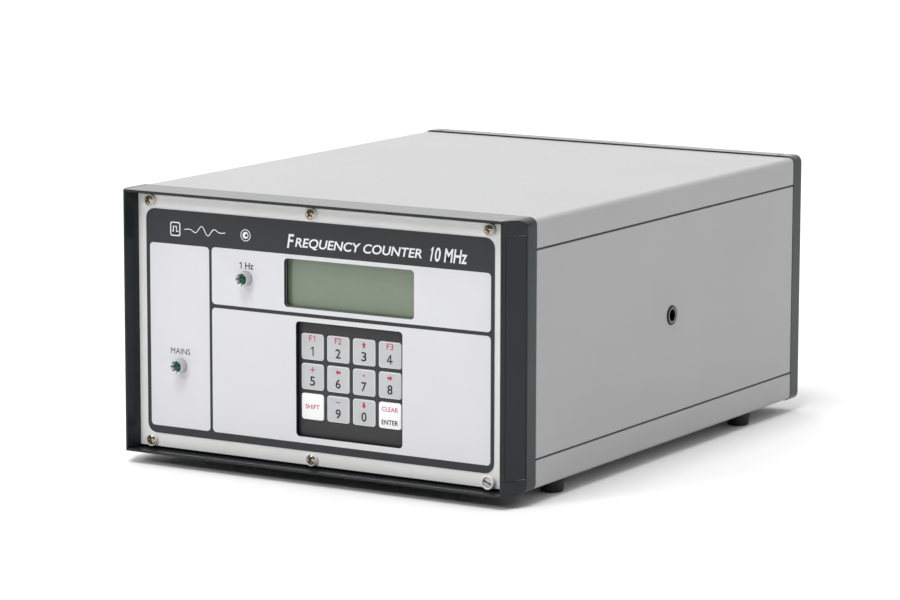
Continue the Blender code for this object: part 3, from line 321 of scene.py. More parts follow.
def flat_shape(curve):
    """Points and faces of a flat curve or a text, made a mesh; points as (across, up, out)."""
    holder = bpy.data.objects.new("outline", curve)
    bpy.context.scene.collection.objects.link(holder)
    bpy.context.view_layer.update()
    graph = bpy.context.evaluated_depsgraph_get()
    mesh = bpy.data.meshes.new_from_object(holder.evaluated_get(graph))
    points = np.zeros(len(mesh.vertices) * 3, np.float32)
    mesh.vertices.foreach_get("co", points)
    faces = [tuple(polygon.vertices) for polygon in mesh.polygons]
    bpy.data.objects.remove(holder)
    bpy.data.meshes.remove(mesh)
    bpy.data.curves.remove(curve)
    return points.reshape(-1, 3).astype(float), faces


def printed(outlines, centre, axes, finish_name, thickness=INK):
    """Flat print inside the first outline and outside the others, as thick as its ink."""
    curve = bpy.data.curves.new("print", "CURVE")
    curve.dimensions = "2D"
    curve.fill_mode = "BOTH"
    curve.extrude = 0.5
    for outline in outlines:
        outline = np.asarray(outline, float)
        spline = curve.splines.new("POLY")
        spline.points.add(len(outline) - 1)
        flat = np.column_stack([outline, np.zeros(len(outline)), np.ones(len(outline))])
        spline.points.foreach_set("co", flat.ravel())
        spline.use_cyclic_u = True
    points, faces = flat_shape(curve)
    points[:, 2] = (points[:, 2] + 0.5) * thickness
    return placed(points, centre, axes), faces, finish_name


def lettering(text, middle, width, height, centre, axes, finish_name, weight=0.0, slant=0.0):
    """Text stretched to a width and a cap height round its middle. weight fattens the strokes, and
    slant leans them."""
    curve = bpy.data.curves.new("text", "FONT")
    curve.body = text
    curve.resolution_u = 5
    curve.offset = weight
    curve.shear = slant
    curve.extrude = 0.5
    points, faces = flat_shape(curve)
    low, high = points[:, :2].min(0), points[:, :2].max(0)
    scale = np.array([width / (high[0] - low[0]), height / (high[1] - low[1])])
    points[:, :2] = (points[:, :2] - (low + high) / 2) * scale + np.asarray(middle)
    points[:, 2] = (points[:, 2] + 0.5) * INK
    return placed(points, centre, axes), faces, finish_name


def figure_one(left, right, base, height, stroke, centre, axes, finish_name, slant=0.0):
    """A 1 with a flag: a stem at the right, and a short stroke down to the left of its top."""
    stem, drop = right - stroke, height * 0.2
    outline = np.array([(right, 0), (right, height), (right - 0.8 * stroke, height),
                        (left, height - drop), (left, height - drop - 0.9 * stroke),
                        (stem, height - 1.3 * stroke), (stem, 0)])
    outline[:, 0] += slant * outline[:, 1]
    return printed([outline + (0, base)], centre, axes, finish_name)


def figure_four(left, right, base, height, stroke, centre, axes, finish_name):
    """A plain 4: a stem, a bar across it a quarter of the way up, and a slope that closes them."""
    stem = right - 0.26 * (right - left) - stroke
    bar, top = base + 0.24 * height, base + height
    lean = (stem - left) / (top - bar - stroke)
    outline = [(stem, base), (stem + stroke, base), (stem + stroke, bar), (right, bar),
               (right, bar + stroke), (stem + stroke, bar + stroke), (stem + stroke, top),
               (stem, top), (left, bar + stroke), (left, bar), (stem, bar)]
    gap = stroke * hypot(1, lean)
    hole = [(stem, bar + stroke), (left + gap, bar + stroke), (stem, top - gap / lean)]
    return printed([outline, hole], centre, axes, finish_name)


def softened(name, finish_name, width=0.0002, body="case", segments=2):
    """A copy of a CAD node with its edges rounded: its triangles merged, its flats joined, and each
    edge over BEVEL_OVER bevelled."""
    mesh = nodes[name].data.copy()
    mesh.name = name + "_soft"
    joined = bmesh.new()
    joined.from_mesh(mesh)
    bmesh.ops.remove_doubles(joined, verts=joined.verts, dist=2e-6)
    bmesh.ops.dissolve_limit(joined, angle_limit=radians(1), verts=joined.verts,
                             edges=joined.edges)
    joined.to_mesh(mesh)
    joined.free()
    mesh.materials.clear()
    mesh.materials.append(FINISHES[finish_name])
    mesh.polygons.foreach_set("material_index", [0] * len(mesh.polygons))
    made = bpy.data.objects.new(name + "_finished", mesh)
    bpy.context.scene.collection.objects.link(made)
    bevel = made.modifiers.new("edges", "BEVEL")
    bevel.width = width
    bevel.segments = segments
    bevel.limit_method = "ANGLE"
    bevel.angle_limit = BEVEL_OVER
    mesh.polygons.foreach_set("use_smooth", [True] * len(mesh.polygons))
    mesh.set_sharp_from_angle(angle=SMOOTH_UNDER)
    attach(made, body)
    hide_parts(name)
    return made


def corners_of(name):
    """Low and high corner of a CAD node's box."""
    low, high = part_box(name)
    return np.array(low), np.array(high)


def middle(name):
    """Centre of a CAD node's box."""
    low, high = corners_of(name)
    return (low + high) / 2


def spot_of(name):
    """A CAD node's middle across the panels: how far right of the object's, and how far up."""
    x, _, z = middle(name)
    return x, z - CENTRE_Z


def dress(finish_name, *names):
    """Gives CAD nodes that stay as they are their finish."""
    for name in names:
        mesh = nodes[name].data
        mesh.materials.clear()
        mesh.materials.append(FINISHES[finish_name])


# ---- Places -------------------------------------------------------------------------------------

panel_low, panel_high = corners_of("front_panel")
cover_low, cover_high = corners_of("top_cover")
CENTRE_Z = (panel_low[2] + panel_high[2]) / 2
PANEL_Y = panel_low[1]
FILM_Y = corners_of("panel_overlay")[0][1]
REAR_Y = corners_of("rear_panel")[1][1]
SEAT = 0.00005                  # gap between a turned fitting and the rear panel
HALF_WIDTH = cover_high[0]
COVER_TOP = cover_high[2]
COVER_EDGE = cover_low[2]

# ---- Frame --------------------------------------------------------------------------------------


def front_frame():
    """Posts, rails and trim strips, with fine round edges. A paler hair line at each end of a strip
    is a painted highlight, for the light its end would catch."""
    hair, sunk, first, last = 0.00034, 0.00006, 0.0002, 0.0004
    section = rounded(hair, hair, 0.0001, 2)
    for side, word in SIDES:
        softened(f"front_post_{word}", "frame_paint", 0.00035, segments=3)
        softened(f"front_trim_{word}", "frame_paint", 0.00006)
        low, high = corners_of(f"front_trim_{word}")
        near, far = sorted((abs(low[0]), abs(high[0])))
        tip, end = np.array([side * near, low[1], 0]), np.array([side * far, high[1], 0])
        length = np.linalg.norm(end - tip)
        facet = (end - tip) / length
        out = np.array([side * facet[1], -facet[0], 0])
        lines = []
        # Painted highlight: a pale hair line across each end of the strip.
        for z in (low[2], high[2]):
            path = [(tip + facet * along - out * sunk + (0, 0, z), out, (0, 0, 1))
                    for along in (first, length - last)]
            lines.append(drawn_along(section, path, "painted_highlight_line"))
        piece(f"trim_end_highlights_{word}", lines)
    for word in ("top", "bottom"):
        softened(f"front_rail_{word}", "frame_paint", 0.00022)


def rear_frame():
    """Rear posts and rails, with fine round edges."""
    for name in ("rear_post_left", "rear_post_right", "rear_rail_top", "rear_rail_bottom"):
        softened(name, "frame_paint", 0.0003)


def covers():
    """Sheet covers: the section is a strip of even thickness, down the side, round a quarter-circle
    bend and across, carried from front to rear."""
    sheet, bend, lip, stations = 0.0012, 0.003, 0.0002, 9
    reach = COVER_TOP - CENTRE_Z
    drop = COVER_EDGE - CENTRE_Z
    t = np.linspace(0, pi / 2, 13)

    def corner(radius, side):
        x = side * (HALF_WIDTH - bend + radius * np.cos(t))
        z = reach - bend + radius * np.sin(t)
        return np.column_stack([x, z])

    outer = np.concatenate([[(HALF_WIDTH - lip, drop), (HALF_WIDTH, drop + lip)], corner(bend, 1),
                            corner(bend, -1)[::-1],
                            [(-HALF_WIDTH, drop + lip), (lip - HALF_WIDTH, drop)]])
    inner = np.concatenate([[(sheet - HALF_WIDTH, drop)], corner(bend - sheet, -1),
                            corner(bend - sheet, 1)[::-1], [(HALF_WIDTH - sheet, drop)]])
    section = np.concatenate([outer, inner])
    for up, name in ((1, "top_cover"), (-1, "bottom_cover")):
        path = [((0, y, CENTRE_Z), (1, 0, 0), (0, 0, up))
                for y in np.linspace(cover_low[1], cover_high[1], stations)]
        piece(name + "_sheet", [drawn_along(section, path, "cover_paint")], "case", [name])


def side_panels():
    """Flat side panels. Over and under each a dark strip with a round face fills the gap: painted
    shade, for the shade in the seam.
    """
    low, high = corners_of("side_panel_right")
    half, bulge, sunk, back, end = 0.00047, 0.0002, 0.0004, -0.00115, 0.0002
    t = np.linspace(-pi / 2, pi / 2, 7)
    section = np.concatenate([np.column_stack([bulge * np.cos(t) - sunk, half * np.sin(t)]),
                              [(back, half), (back, -half)]])
    for side, word in SIDES:
        softened(f"side_panel_{word}", "cover_paint")
        # Painted shade: a dark strip in each seam, over and under the panel.
        seam_shades = []
        for up in (-1, 1):
            z = CENTRE_Z + up * (COVER_EDGE - CENTRE_Z - 0.0005)
            path = [((side * HALF_WIDTH, y, z), (side, 0, 0), (0, 0, 1))
                    for y in (low[1] + end, high[1] - end)]
            seam_shades.append(drawn_along(section, path, "painted_seam_shade"))
        piece(f"side_seam_shades_{word}", seam_shades)


def side_bushes():
    """A flanged bush: a turned ring with a round front edge, a paler liner, and a bore whose
    near-black floor is painted shade.
    """
    ring = [(0.0043, 0), (0.0047, 0.0), (0.00495, -0.00015), (0.0051, -0.0006), (0.0040, -0.0006),
            (0.0040, -0.0086), (0.0033, -0.0086), (0.0033, -0.0070), (0.0033, -0.0003),
            (0.0040, -0.0003)]
    liner = [(0.0031, -0.00025), (0.0034, 0.0), (0.0041, 0.0), (0.0042, -0.00025),
             (0.0032, -0.00035)]
    # Painted shade: the bore's floor in the near-black liner.
    floor = [(0.0031, -0.0066), (0.0031, -0.0072)]
    for axes, word in ((LEFT, "left"), (RIGHT, "right")):
        name = f"side_bush_{word}"
        low, high = corners_of(name)
        centre = (low[0] if word == "left" else high[0], *middle(name)[1:])
        piece(name + "_turned", [turned(ring, centre, axes, "bush_rim", loop=True),
                                 turned(liner, centre, axes, "bush_grey", loop=True),
                                 turned(floor, centre, axes, "liner")],
              "case", [name])


def feet():
    """Rubber feet: a short cone with a round sole edge and a screw well underneath."""
    edge, rim = 0.0008, 0.0004
    t = np.linspace(0, pi / 2, 6)
    for name in ("foot_front_left", "foot_front_right", "foot_rear_left", "foot_rear_right"):
        low, high = corners_of(name)
        x, y, _ = middle(name)
        height, radius = high[2], (high[0] - low[0]) / 2
        sole = np.column_stack([radius - 2 * edge + edge * np.sin(t), edge - edge * np.cos(t)])
        profile = np.concatenate([[(0.0022, 0.003), (0.0024, 0.0002), (0.0026, 0)], sole,
                                  [(radius, height - edge), (radius - rim, height)]])
        piece(name + "_rubber", [turned(profile, (x, y, 0), TOP, "rubber", 72)], "case", [name])


# ---- Front panel --------------------------------------------------------------------------------


def front_print():
    """The panel, and its film of a dark ground and three light windows, with openings for display,
    keys and lamps. A dark lining on the walls of each larger opening is painted shade, and a pale
    hair line round the display's is a painted highlight."""
    softened("front_panel", "panel_metal")
    dress("film_dark", "panel_overlay")
    corner, overlap, clear = 0.002, 0.0005, 0.00005
    holes = {}
    # Painted shade: a dark lining on the walls of the keypad's and the display's openings.
    for name, source, gap, look in (("keypad", "keypad_bezel", 0.0006, "liner"),
                                    ("display", "display_glass", 0.0, "display_mask_and_painted_shade")):
        low, high = corners_of(source)
        spot, back = spot_of(source), low[1]
        width, height = high[0] - low[0], high[2] - low[2]
        holes[name] = rounded(width + gap, height + gap, corner, at=spot)
        width, height = width + overlap, height + overlap
        walls = nested(width, height, corner, (-gap / 4, 0.0003), spot)
        parts = [printed(walls, (0, back - clear, CENTRE_Z), FRONT, look,
                         back - 2 * clear - FILM_Y)]
        if name == "display":
            # Painted highlight: a pale line round the display's opening, for the light on its inner
            # edge.
            line = nested(width, height, 0.0018, (0.00028, 0.00042), spot)
            parts.append(printed(line, (0, (back + FILM_Y) / 2, CENTRE_Z), FRONT, "painted_highlight_line",
                                 0.00015))
        piece(f"{name}_painted_shade_and_reflection", parts)
    for word in ("gate", "power"):
        holes[word] = circle(0.0038, *spot_of(f"lamp_collar_{word}"))
    for word, left, right, low, high, cut in (
            ("status", -0.0994, -0.0634, -0.0533, 0.0400, ("power",)),
            ("display", -0.0618, 0.0997, 0.01165, 0.0403, ("display", "gate")),
            ("keypad", -0.0618, 0.0997, -0.0533, 0.0098, ("keypad",))):
        edge = rounded(right - left, high - low, corner, at=((left + right) / 2, (low + high) / 2))
        piece(f"film_window_{word}", [
            printed([edge, *(holes[hole] for hole in cut)], (0, FILM_Y, CENTRE_Z), FRONT,
                    "film_light")])


def front_legends():
    """Heading, plain signs and the lamps' labels, in print."""
    on_film = (0, FILM_Y, CENTRE_Z)
    on_window = (0, FILM_Y - INK, CENTRE_Z)
    base, initial, capital, weight, slant = 0.0434, 0.0070, 0.0055, 0.017, 0.2

    def white(*outlines):
        return printed(outlines, on_film, FRONT, "white_ink")

    heading = [lettering(text, ((left + right) / 2, base + height / 2), right - left, height,
                         on_film, FRONT, "white_ink", weight, slant)
               for text, left, right, height in (("F", -0.0168, -0.0126, initial),
                                                 ("REQUENCY COUNTER", -0.0121, 0.0610, capital),
                                                 ("0 MHz", 0.0683, 0.0866, initial))]
    heading.append(figure_one(0.0650, 0.0664, base, initial, 0.0008, on_film, FRONT, "white_ink",
                              slant))
    piece("heading", heading)

    spot = (-0.0838, 0.0477)
    steps = np.array([(-1.9, -1.4), (-0.9, -1.4), (-0.9, 1.0), (0.5, 1.0), (0.5, -1.4), (1.9, -1.4),
                      (1.9, -0.9), (1.0, -0.9), (1.0, 1.5), (-1.4, 1.5), (-1.4, -0.9),
                      (-1.9, -0.9)]) * 0.001
    start, reach, level, tall, half_line = -0.0782, 0.0246, 0.0479, 0.0024, 0.00021
    t = np.linspace(0, 6 * pi, 90)
    swell = tall * np.exp(-((t - 3 * pi) / (1.7 * pi)) ** 2)
    line = np.column_stack([start + t / (6 * pi) * reach, level + swell * np.sin(t)])
    slope = np.gradient(line[:, 1], line[:, 0])
    normal = np.column_stack([-slope, np.ones_like(slope)]) / np.sqrt(1 + slope ** 2)[:, None]
    ribbon = np.concatenate([line + half_line * normal, (line - half_line * normal)[::-1]])
    piece("plain_sign", [
        white(rounded(0.0062, 0.0072, 0.0012, at=spot), rounded(0.0050, 0.0060, 0.0008, at=spot)),
        white(steps + spot), white(ribbon)])

    x, z = -0.0414, 0.0477
    piece("round_mark", [white(circle(0.0030, x, z), circle(0.00262, x, z)),
                         white(circle(0.00175, x, z), circle(0.0008, x + 0.0005, z))])

    piece("lamp_labels", [
        figure_one(-0.0451, -0.0438, 0.0309, 0.0033, 0.00056, on_window, FRONT, "black_ink"),
        lettering("Hz", (-0.03925, 0.03255), 0.0050, 0.0033, on_window, FRONT, "black_ink", 0.014),
        lettering("MAINS", (-0.08125, -0.0142), 0.0118, 0.0030, on_window, FRONT, "black_ink"),
    ])


def screw_head(radius, top, crown, turn, slotted):
    """A head as a polar grid: height top - crown * (1 - sqrt(1 - 0.92 r^2)), less a recess with
    sloping walls, which is a cross of two bars or one slot, and then a wall down to the panel."""
    recess, half_bar, half_cross = 0.0013, 0.19, 0.70
    r = np.concatenate([np.linspace(0.04, 0.86, 22), [0.92, 0.965, 0.99, 1.0]])[:, None]
    t = np.linspace(0, 2 * pi, 96, endpoint=False)[None, :]
    a, b = r * np.cos(t - turn), r * np.sin(t - turn)
    if slotted:
        cut = recess * np.clip((half_bar - np.abs(a)) / 0.06, 0, 1)
    else:
        across, along = np.minimum(np.abs(a), np.abs(b)), np.maximum(np.abs(a), np.abs(b))
        cut = (recess * np.clip((half_bar - across) / 0.08, 0, 1)
               * np.clip((half_cross - along) / 0.14, 0, 1))
    height = top - crown * (1 - np.sqrt(1 - 0.92 * r ** 2)) - cut
    disc = np.stack([radius * r * np.cos(t), radius * r * np.sin(t), height], -1)
    wall = disc[-1:].copy()
    wall[..., 2] = 0.0001
    return np.concatenate([disc, wall])


def panel_screw(name, turn, slotted):
    """A screw in a nylon sleeve: a nickel pan head that stands out of a short sleeve, or a slotted
    head sunk in a long one."""
    low, high = corners_of(name)
    x, _, z = middle(name)
    outer = (high[0] - low[0]) / 2 + (0 if slotted else 0.0002)
    rise = PANEL_Y - low[1]
    radius, reach = 0.0025, (rise - 0.0003 if slotted else 0.0017)
    rings = screw_head(radius, reach - 0.0006 if slotted else rise - 0.0001,
                       0.0002 if slotted else 0.0009, turn, slotted)
    centre = (x, PANEL_Y, z)
    inner = radius + 0.00008
    ring = [(inner, 0.0), (inner, reach - 0.0003), (inner + 0.0002, reach),
            (outer - 0.0003, reach), (outer, reach - 0.0004), (outer, 0.0)]
    piece(name + "_fitted", [skin(placed(rings, centre, FRONT), "zinc" if slotted else "nickel"),
                             turned(ring, centre, FRONT, "sleeve", 64, loop=True)],
          "case", [name])


def panel_screws():
    """Six screws, each turned to its own angle, of which the lower right one is slotted."""
    for i, name in enumerate(n for n in sorted(nodes) if n.startswith("panel_screw")):
        slotted = name == "panel_screw_bottom_right"
        panel_screw(name, radians(68 if slotted else 20 + 31 * i), slotted)


def display():
    """The window's glass and its dark surround."""
    dress("display", "display_glass")
    dress("display_mask_and_painted_shade", "display_frame")


ARROW = np.array([(0, 1.0), (0.95, 0.05), (0.42, 0.05), (0.42, -1.0), (-0.42, -1.0),
                  (-0.42, 0.05), (-0.95, 0.05)])


KEY_SIGNS = {"key_1": "F1", "key_2": "F2", "key_3": 0, "key_4": "F3", "key_5": "+", "key_6": 90,
             "key_7": ".", "key_8": -90, "key_9": "-", "key_0": 180}


def key_sign(sign, at):
    """Red print over a key's number: a name, or a plain sign. A number is an arrow, turned from
    upright by so many degrees."""
    if str(sign).startswith("F"):
        letters = sign.rstrip("1")
        full, alone, height = 0.0038, 0.0017, 0.0031
        wide = full if letters == sign else alone
        made = [lettering(letters, ((wide - full) / 2, 0.0042), wide, height, at, FRONT, "red_ink",
                          0.006)]
        if letters != sign:
            made.append(figure_one(0.0006, 0.0016, 0.00265, height, 0.00036, at, FRONT, "red_ink"))
        return made
    up = 0.0036
    if sign == "+":
        a, b = 0.0014, 0.00021
        outline = np.array([(-a, -b), (-b, -b), (-b, -a), (b, -a), (b, -b), (a, -b), (a, b), (b, b),
                            (b, a), (-b, a), (-b, b), (-a, b)])
    elif sign == "-":
        outline = rounded(0.0028, 0.00042, 0.00008)
    elif sign == ".":
        outline, up = circle(0.00052), 0.0034
    else:
        turn = radians(sign)
        outline = ARROW @ np.array([[cos(turn), sin(turn)], [-sin(turn), cos(turn)]]) * 0.00145
    return [printed([outline + (0, up)], at, FRONT, "red_ink")]


def key_number(digit, at):
    """Black print of a key's number, low on the key."""
    base, height, stroke = -0.0045, 0.0047, 0.00062
    if digit == "1":
        return figure_one(-0.0010, 0.0007, base, height, stroke, at, FRONT, "black_ink")
    if digit == "4":
        return figure_four(-0.0017, 0.0016, base, height, stroke, at, FRONT, "black_ink")
    return lettering(digit, (0, -0.0021), 0.0030, height, at, FRONT, "black_ink", 0.015)


def keypad():
    """Bezel and twelve keys. A key is a rounded block with a soft edge, and a grey one's face is
    printed inside a paler border."""
    softened("keypad_bezel", "bezel")
    border = 0.0011
    words = {"key_shift": [("SHIFT", 0, 0.0082, 0.0023, "red_ink", 0.010)],
             "key_enter": [("CLEAR", 0.0031, 0.0094, 0.0023, "red_ink", 0.010),
                           ("ENTER", -0.0034, 0.0096, 0.0024, "black_ink", 0.023)]}
    for name in [n for n in nodes if n.startswith("key_")]:
        low, high = corners_of(name)
        x, _, z = middle(name)
        width, height, thick = high[0] - low[0], high[2] - low[2], high[1] - low[1]
        face = (x, low[1], z)
        white = name in words
        profile = [(0, -thick), (0, -0.00045), (0.00006, -0.0002), (0.0002, -0.00006),
                   (0.00045, 0)]
        piece(name + "_cap", [pillow(width, height, 0.0015, profile, face, FRONT,
                                     "key_white" if white else "key_edge")], name, [name])
        if white:
            legend = [lettering(text, (0, up), wide, tall, face, FRONT, look, weight)
                      for text, up, wide, tall, look, weight in words[name]]
        else:
            on_grey = (x, low[1] - INK / 2, z)
            legend = [printed([rounded(width - border, height - border, border)], face, FRONT,
                              "key_grey", INK / 2),
                      key_number(name[-1], on_grey), *key_sign(KEY_SIGNS[name], on_grey)]
        piece(name + "_legend", legend, name)


def lamps():
    """A satin collar with a hollow cone whose near-white paints its reflection, near-black strips
    down the cone that paint dark reflections, and a green lens behind its rim, which is a short
    cylinder with a dome."""
    outer, mouth, bore, cone = 0.0036, 0.0032, 0.00262, 0.0016
    lens_radius, dome_rise = 0.0025, 0.0011
    slope = hypot(mouth - bore, cone)
    lean = np.array([mouth - bore, cone]) / slope
    bar = np.array([(-0.00024, -0.0002), (0.00024, -0.0002), (0.00024, 0.0001),
                                (-0.00024, 0.0001)])
    for word in ("gate", "power"):
        collar, lens = f"lamp_collar_{word}", f"lamp_{word}"
        x, _, z = middle(collar)
        reach = PANEL_Y - corners_of(collar)[0][1]
        centre = (x, PANEL_Y, z)
        profile = [(outer, 0.0002), (outer, reach - 0.0004), (0.00352, reach - 0.0001),
                   (0.0034, reach - 0.00002), (mouth + 0.0001, reach - 0.00002),
                   (mouth + 0.0001, reach - 0.0003), (bore + 0.0002, reach - cone), (bore, -0.004),
                   (mouth, -0.004), (mouth, 0.0002)]
        # The cone and its rim in the near-white painted reflection.
        inside = [(mouth + 0.00012, reach), (mouth, reach), (bore, reach - cone), (bore, -0.0038),
                  (bore + 0.0001, -0.0038), (bore + 0.00018, reach - cone)]
        piece(collar + "_turned", [turned(profile, centre, FRONT, "chrome", 96, loop=True),
                                   turned(inside, centre, FRONT, "painted_reflection_cone", 96, loop=True)],
              "case", [collar])
        # Eight near-black strips down the cone: painted dark reflections.
        painted_reflections = []
        for k in range(8):
            t = radians(45 * k)
            u, v = np.array([cos(t), 0, sin(t)]), np.array([-sin(t), 0, cos(t)])
            along = lean[0] * u + np.array([0, -lean[1], 0])
            inward = -lean[1] * u + np.array([0, -lean[0], 0])
            start = np.array(centre) + bore * u + np.array([0, cone - reach, 0])
            path = [(start + along * share * slope, v, inward) for share in (0.02, 0.97)]
            painted_reflections.append(drawn_along(bar, path, "liner"))
        piece(collar + "_slots", painted_reflections)
        t = np.linspace(0, pi / 2, 12)[:-1]
        tip = PANEL_Y - corners_of(lens)[0][1]
        dome = np.column_stack([lens_radius * np.cos(t), tip - dome_rise + dome_rise * np.sin(t)])
        dome = np.concatenate([[(lens_radius, -0.003)], dome])
        piece(lens + "_lens", [turned(dome, centre, FRONT, "lens", 64)], "case", [lens])


# ---- Rear panel ---------------------------------------------------------------------------------


def hexagon(t):
    """Radius of a hexagon as a share of its corner's: cos 30 over cos of the angle from a flat."""
    return cos(pi / 6) / np.cos(np.mod(t, pi / 3) - pi / 6)


def rear_panel():
    """The panel and its plain fittings with fine round edges, the rocker's marks, six screw heads
    and the serial connector's contacts."""
    softened("rear_panel", "cover_paint")
    softened("mains_inlet", "black_plastic")
    softened("serial_connector", "steel")
    softened("fuse_drawer", "black_plastic", body="fuse_drawer")
    softened("power_rocker", "black_plastic", 0.0003, body="power_rocker")
    rocker_marks()
    low, high = corners_of("rear_panel")
    half_width, half_height = (high[0] - low[0]) / 2 - 0.0045, (high[2] - low[2]) / 2 - 0.0040
    heads = []
    for i, (x, z) in enumerate([(x, z) for x in (-1, 0, 1) for z in (-1, 1)]):
        at = ((low[0] + high[0]) / 2 + x * half_width, REAR_Y, CENTRE_Z + z * half_height)
        rings = screw_head(0.0026, 0.0016, 0.0009, radians(25 + 37 * i), False)
        heads.append(skin(placed(rings, at, REAR), "nickel"))
    piece("rear_panel_screws", heads)
    serial_contacts()


def rocker_marks():
    """A bar on the upper wing of the rocker and a ring on the lower one. Each wing's middle and
    slope are the mean of its triangles, weighted by their areas."""
    mesh = nodes["power_rocker"].data
    centres, normals = np.zeros((2, len(mesh.polygons), 3))
    areas = np.zeros(len(mesh.polygons))
    for values, name in ((centres, "center"), (normals, "normal")):
        flat = np.zeros(values.size)
        mesh.polygons.foreach_get(name, flat)
        values[:] = flat.reshape(-1, 3)
    mesh.polygons.foreach_get("area", areas)
    centre_z = middle("power_rocker")[2]
    marks = []
    for upper in (True, False):
        wing = (normals[:, 1] > 0.7) & ((centres[:, 2] > centre_z) == upper)
        share = areas[wing][:, None] / areas[wing].sum()
        out = (normals[wing] * share).sum(0)
        out /= np.linalg.norm(out)
        across = np.array([-1.0, 0, 0])
        axes = (across, np.cross(out, across), out)
        at = (centres[wing] * share).sum(0)
        outlines = ([rounded(0.0007, 0.0034, 0.0001)] if upper
                    else [circle(0.0016), circle(0.0011)])
        marks.append(printed(outlines, at, axes, "white_ink"))
    piece("rocker_marks", marks, "power_rocker")


def serial_contacts():
    """The nine-way connector's dark D-shaped face, with five contacts over four."""
    x, _, z = middle("serial_connector")
    face = corners_of("serial_connector")[1][1]
    half, tall, lean, thick = 0.0077, 0.0035, 0.0012, 0.00006
    edge = softened_corners([(-half, tall), (-half + lean, -tall), (half - lean, -tall),
                             (half, tall)], 0.0012, 4)
    parts = [printed([edge], (x, face, z), REAR, "black_plastic", thick)]
    pitch, row = 0.00277, 0.00142
    for k in range(9):
        spot = ((k - 2) * pitch, row) if k < 5 else ((k - 6.5) * pitch, -row)
        parts.append(printed([circle(0.00062, *spot, 20), circle(0.00036, *spot, 20)],
                             (x, face + thick, z), REAR, "gold"))
    piece("serial_contacts", parts)


def coaxial_sockets():
    """Bayonet sockets: turned barrel, white insulator and gilt pin, hexagonal nut, and two lugs."""
    for name in ("socket_measured_input", "socket_reference_input", "socket_reference_output"):
        x, _, z = middle(name)
        face = REAR_Y + SEAT
        length = corners_of(name)[1][1] - face
        centre = (x, face, z)
        barrel = [(0.0040, length - 0.0003), (0.0043, length), (0.0046, length),
                  (0.0048, length - 0.0003), (0.0048, 0.0028), (0.0053, 0.0024), (0.0053, 0.0001),
                  (0.0045, 0.0001), (0.0040, 0.0030)]
        insulator = [(0.00395, 0.0030), (0.00395, 0.0038), (0.0030, 0.0040), (0.0030, 0.0086),
                     (0.0014, 0.0088), (0.0013, 0.0080)]
        pin = [(0.0010, 0.0030), (0.0010, length - 0.0025), (0.0006, length - 0.0020),
               (0.0003, length - 0.0022)]
        nut = [(0.0049, 0.0), (0.0080, 0.0), (0.0082, 0.0002), (0.0082, 0.0019), (0.0079, 0.0022),
               (0.0049, 0.0022)]
        parts = [turned(barrel, centre, REAR, "nickel", 72, loop=True),
                 turned(insulator, centre, REAR, "white_ink", 48),
                 turned(pin, centre, REAR, "gold", 32),
                 turned(nut, centre, REAR, "nickel", 72, loop=True, shape=hexagon)]
        for side in (-1, 1):
            lug = [(0.00095, 0.0), (0.00095, 0.0007), (0.0007, 0.0009)]
            at = (x + side * 0.0047, face + length - 0.0042, z)
            parts.append(turned(lug, at, RIGHT if side > 0 else LEFT, "nickel", 24))
        piece(name + "_turned", parts, "case", [name])


def ground_post():
    """A brass stud with a knurled thumb nut: the nut's radius ripples with the angle."""
    x, _, z = middle("ground_post")
    face = REAR_Y + SEAT
    centre = (x, face, z)
    end = corners_of("ground_post")[1][1] - face
    stud = [(0.0020, 0.0), (0.0020, end - 0.0004), (0.0016, end)]
    nut = [(0.0021, 0.0008), (0.0044, 0.0008), (0.0048, 0.0012), (0.0048, 0.0066),
           (0.0044, 0.0070), (0.0021, 0.0070)]
    washer = [(0.0021, 0.0), (0.0046, 0.0), (0.0046, 0.0007), (0.0021, 0.0007)]
    piece("ground_post_turned", [
        turned(stud, centre, REAR, "brass", 48),
        turned(washer, centre, REAR, "zinc", 48, loop=True),
        turned(nut, centre, REAR, "brass", 144, loop=True,
               shape=lambda t: 1 - 0.02 * (np.cos(36 * t) > 0) * np.ones_like(t))],
          "case", ["ground_post"])


def rear_legends():
    """Plain words beside the rear fittings, and an earth sign of three bars and a stem."""
    at = (0, REAR_Y, CENTRE_Z)
    words = []
    for text, name, rise, width in (("INPUT", "socket_measured_input", 0.0125, 0.0105),
                                    ("REF IN", "socket_reference_input", 0.0125, 0.0112),
                                    ("REF OUT", "socket_reference_output", 0.0125, 0.0135),
                                    ("RS-232", "serial_connector", 0.0105, 0.0118),
                                    ("MAINS", "mains_inlet", 0.0330, 0.0125)):
        x, z = spot_of(name)
        words.append(lettering(text, (-x, z + rise), width, 0.0026, at, REAR, "black_ink"))
    x, z = spot_of("ground_post")
    for width, height, rise in ((0.0063, 0.0005, 0.0092), (0.0043, 0.0005, 0.0080),
                                (0.0023, 0.0005, 0.0068), (0.0005, 0.0030, 0.0107)):
        line = rounded(width, height, 0.0001, at=(-x, z + rise))
        words.append(printed([line], at, REAR, "black_ink"))
    piece("rear_legends", words)


def insides():
    """Boards and metal modules inside the case."""
    dress("board", "display_board", "main_board")
    dress("module_metal", "power_supply", "oscillator_module")


# ---- Stage --------------------------------------------------------------------------------------

WORLD_MIDDLE = 0.35                  # brightness of the surroundings level with the object
WORLD_SLOPE = (-0.34, 0.86, 0.0)     # how much brighter they are to the left and the rear
WORLD_OVERHEAD = 0.79                # and straight up, by the square of the height
WORLD_LEAST = 0.10
LIGHTS = (("key_light", (0.0, -4.25, 9.9), 4.25, 620),      # place, side in metres, watts
          ("left_light", (-2.3, -4.5, 3.3), 1.2, 100))
LIGHTS_AIM = (0, 0, 0.05)
FLOOR_HALF = 9
CAMERA_FROM_PANEL = (1.019855, -1.559326, 0.320622)
CAMERA_TURN = (90 - 9.3223, -0.1177, 31.2479)
CAMERA_SHIFT = (0.00448, 0.008965)
CAMERA_SENSOR, CAMERA_LENS, CAMERA_END = 36.0, 153.903, 60


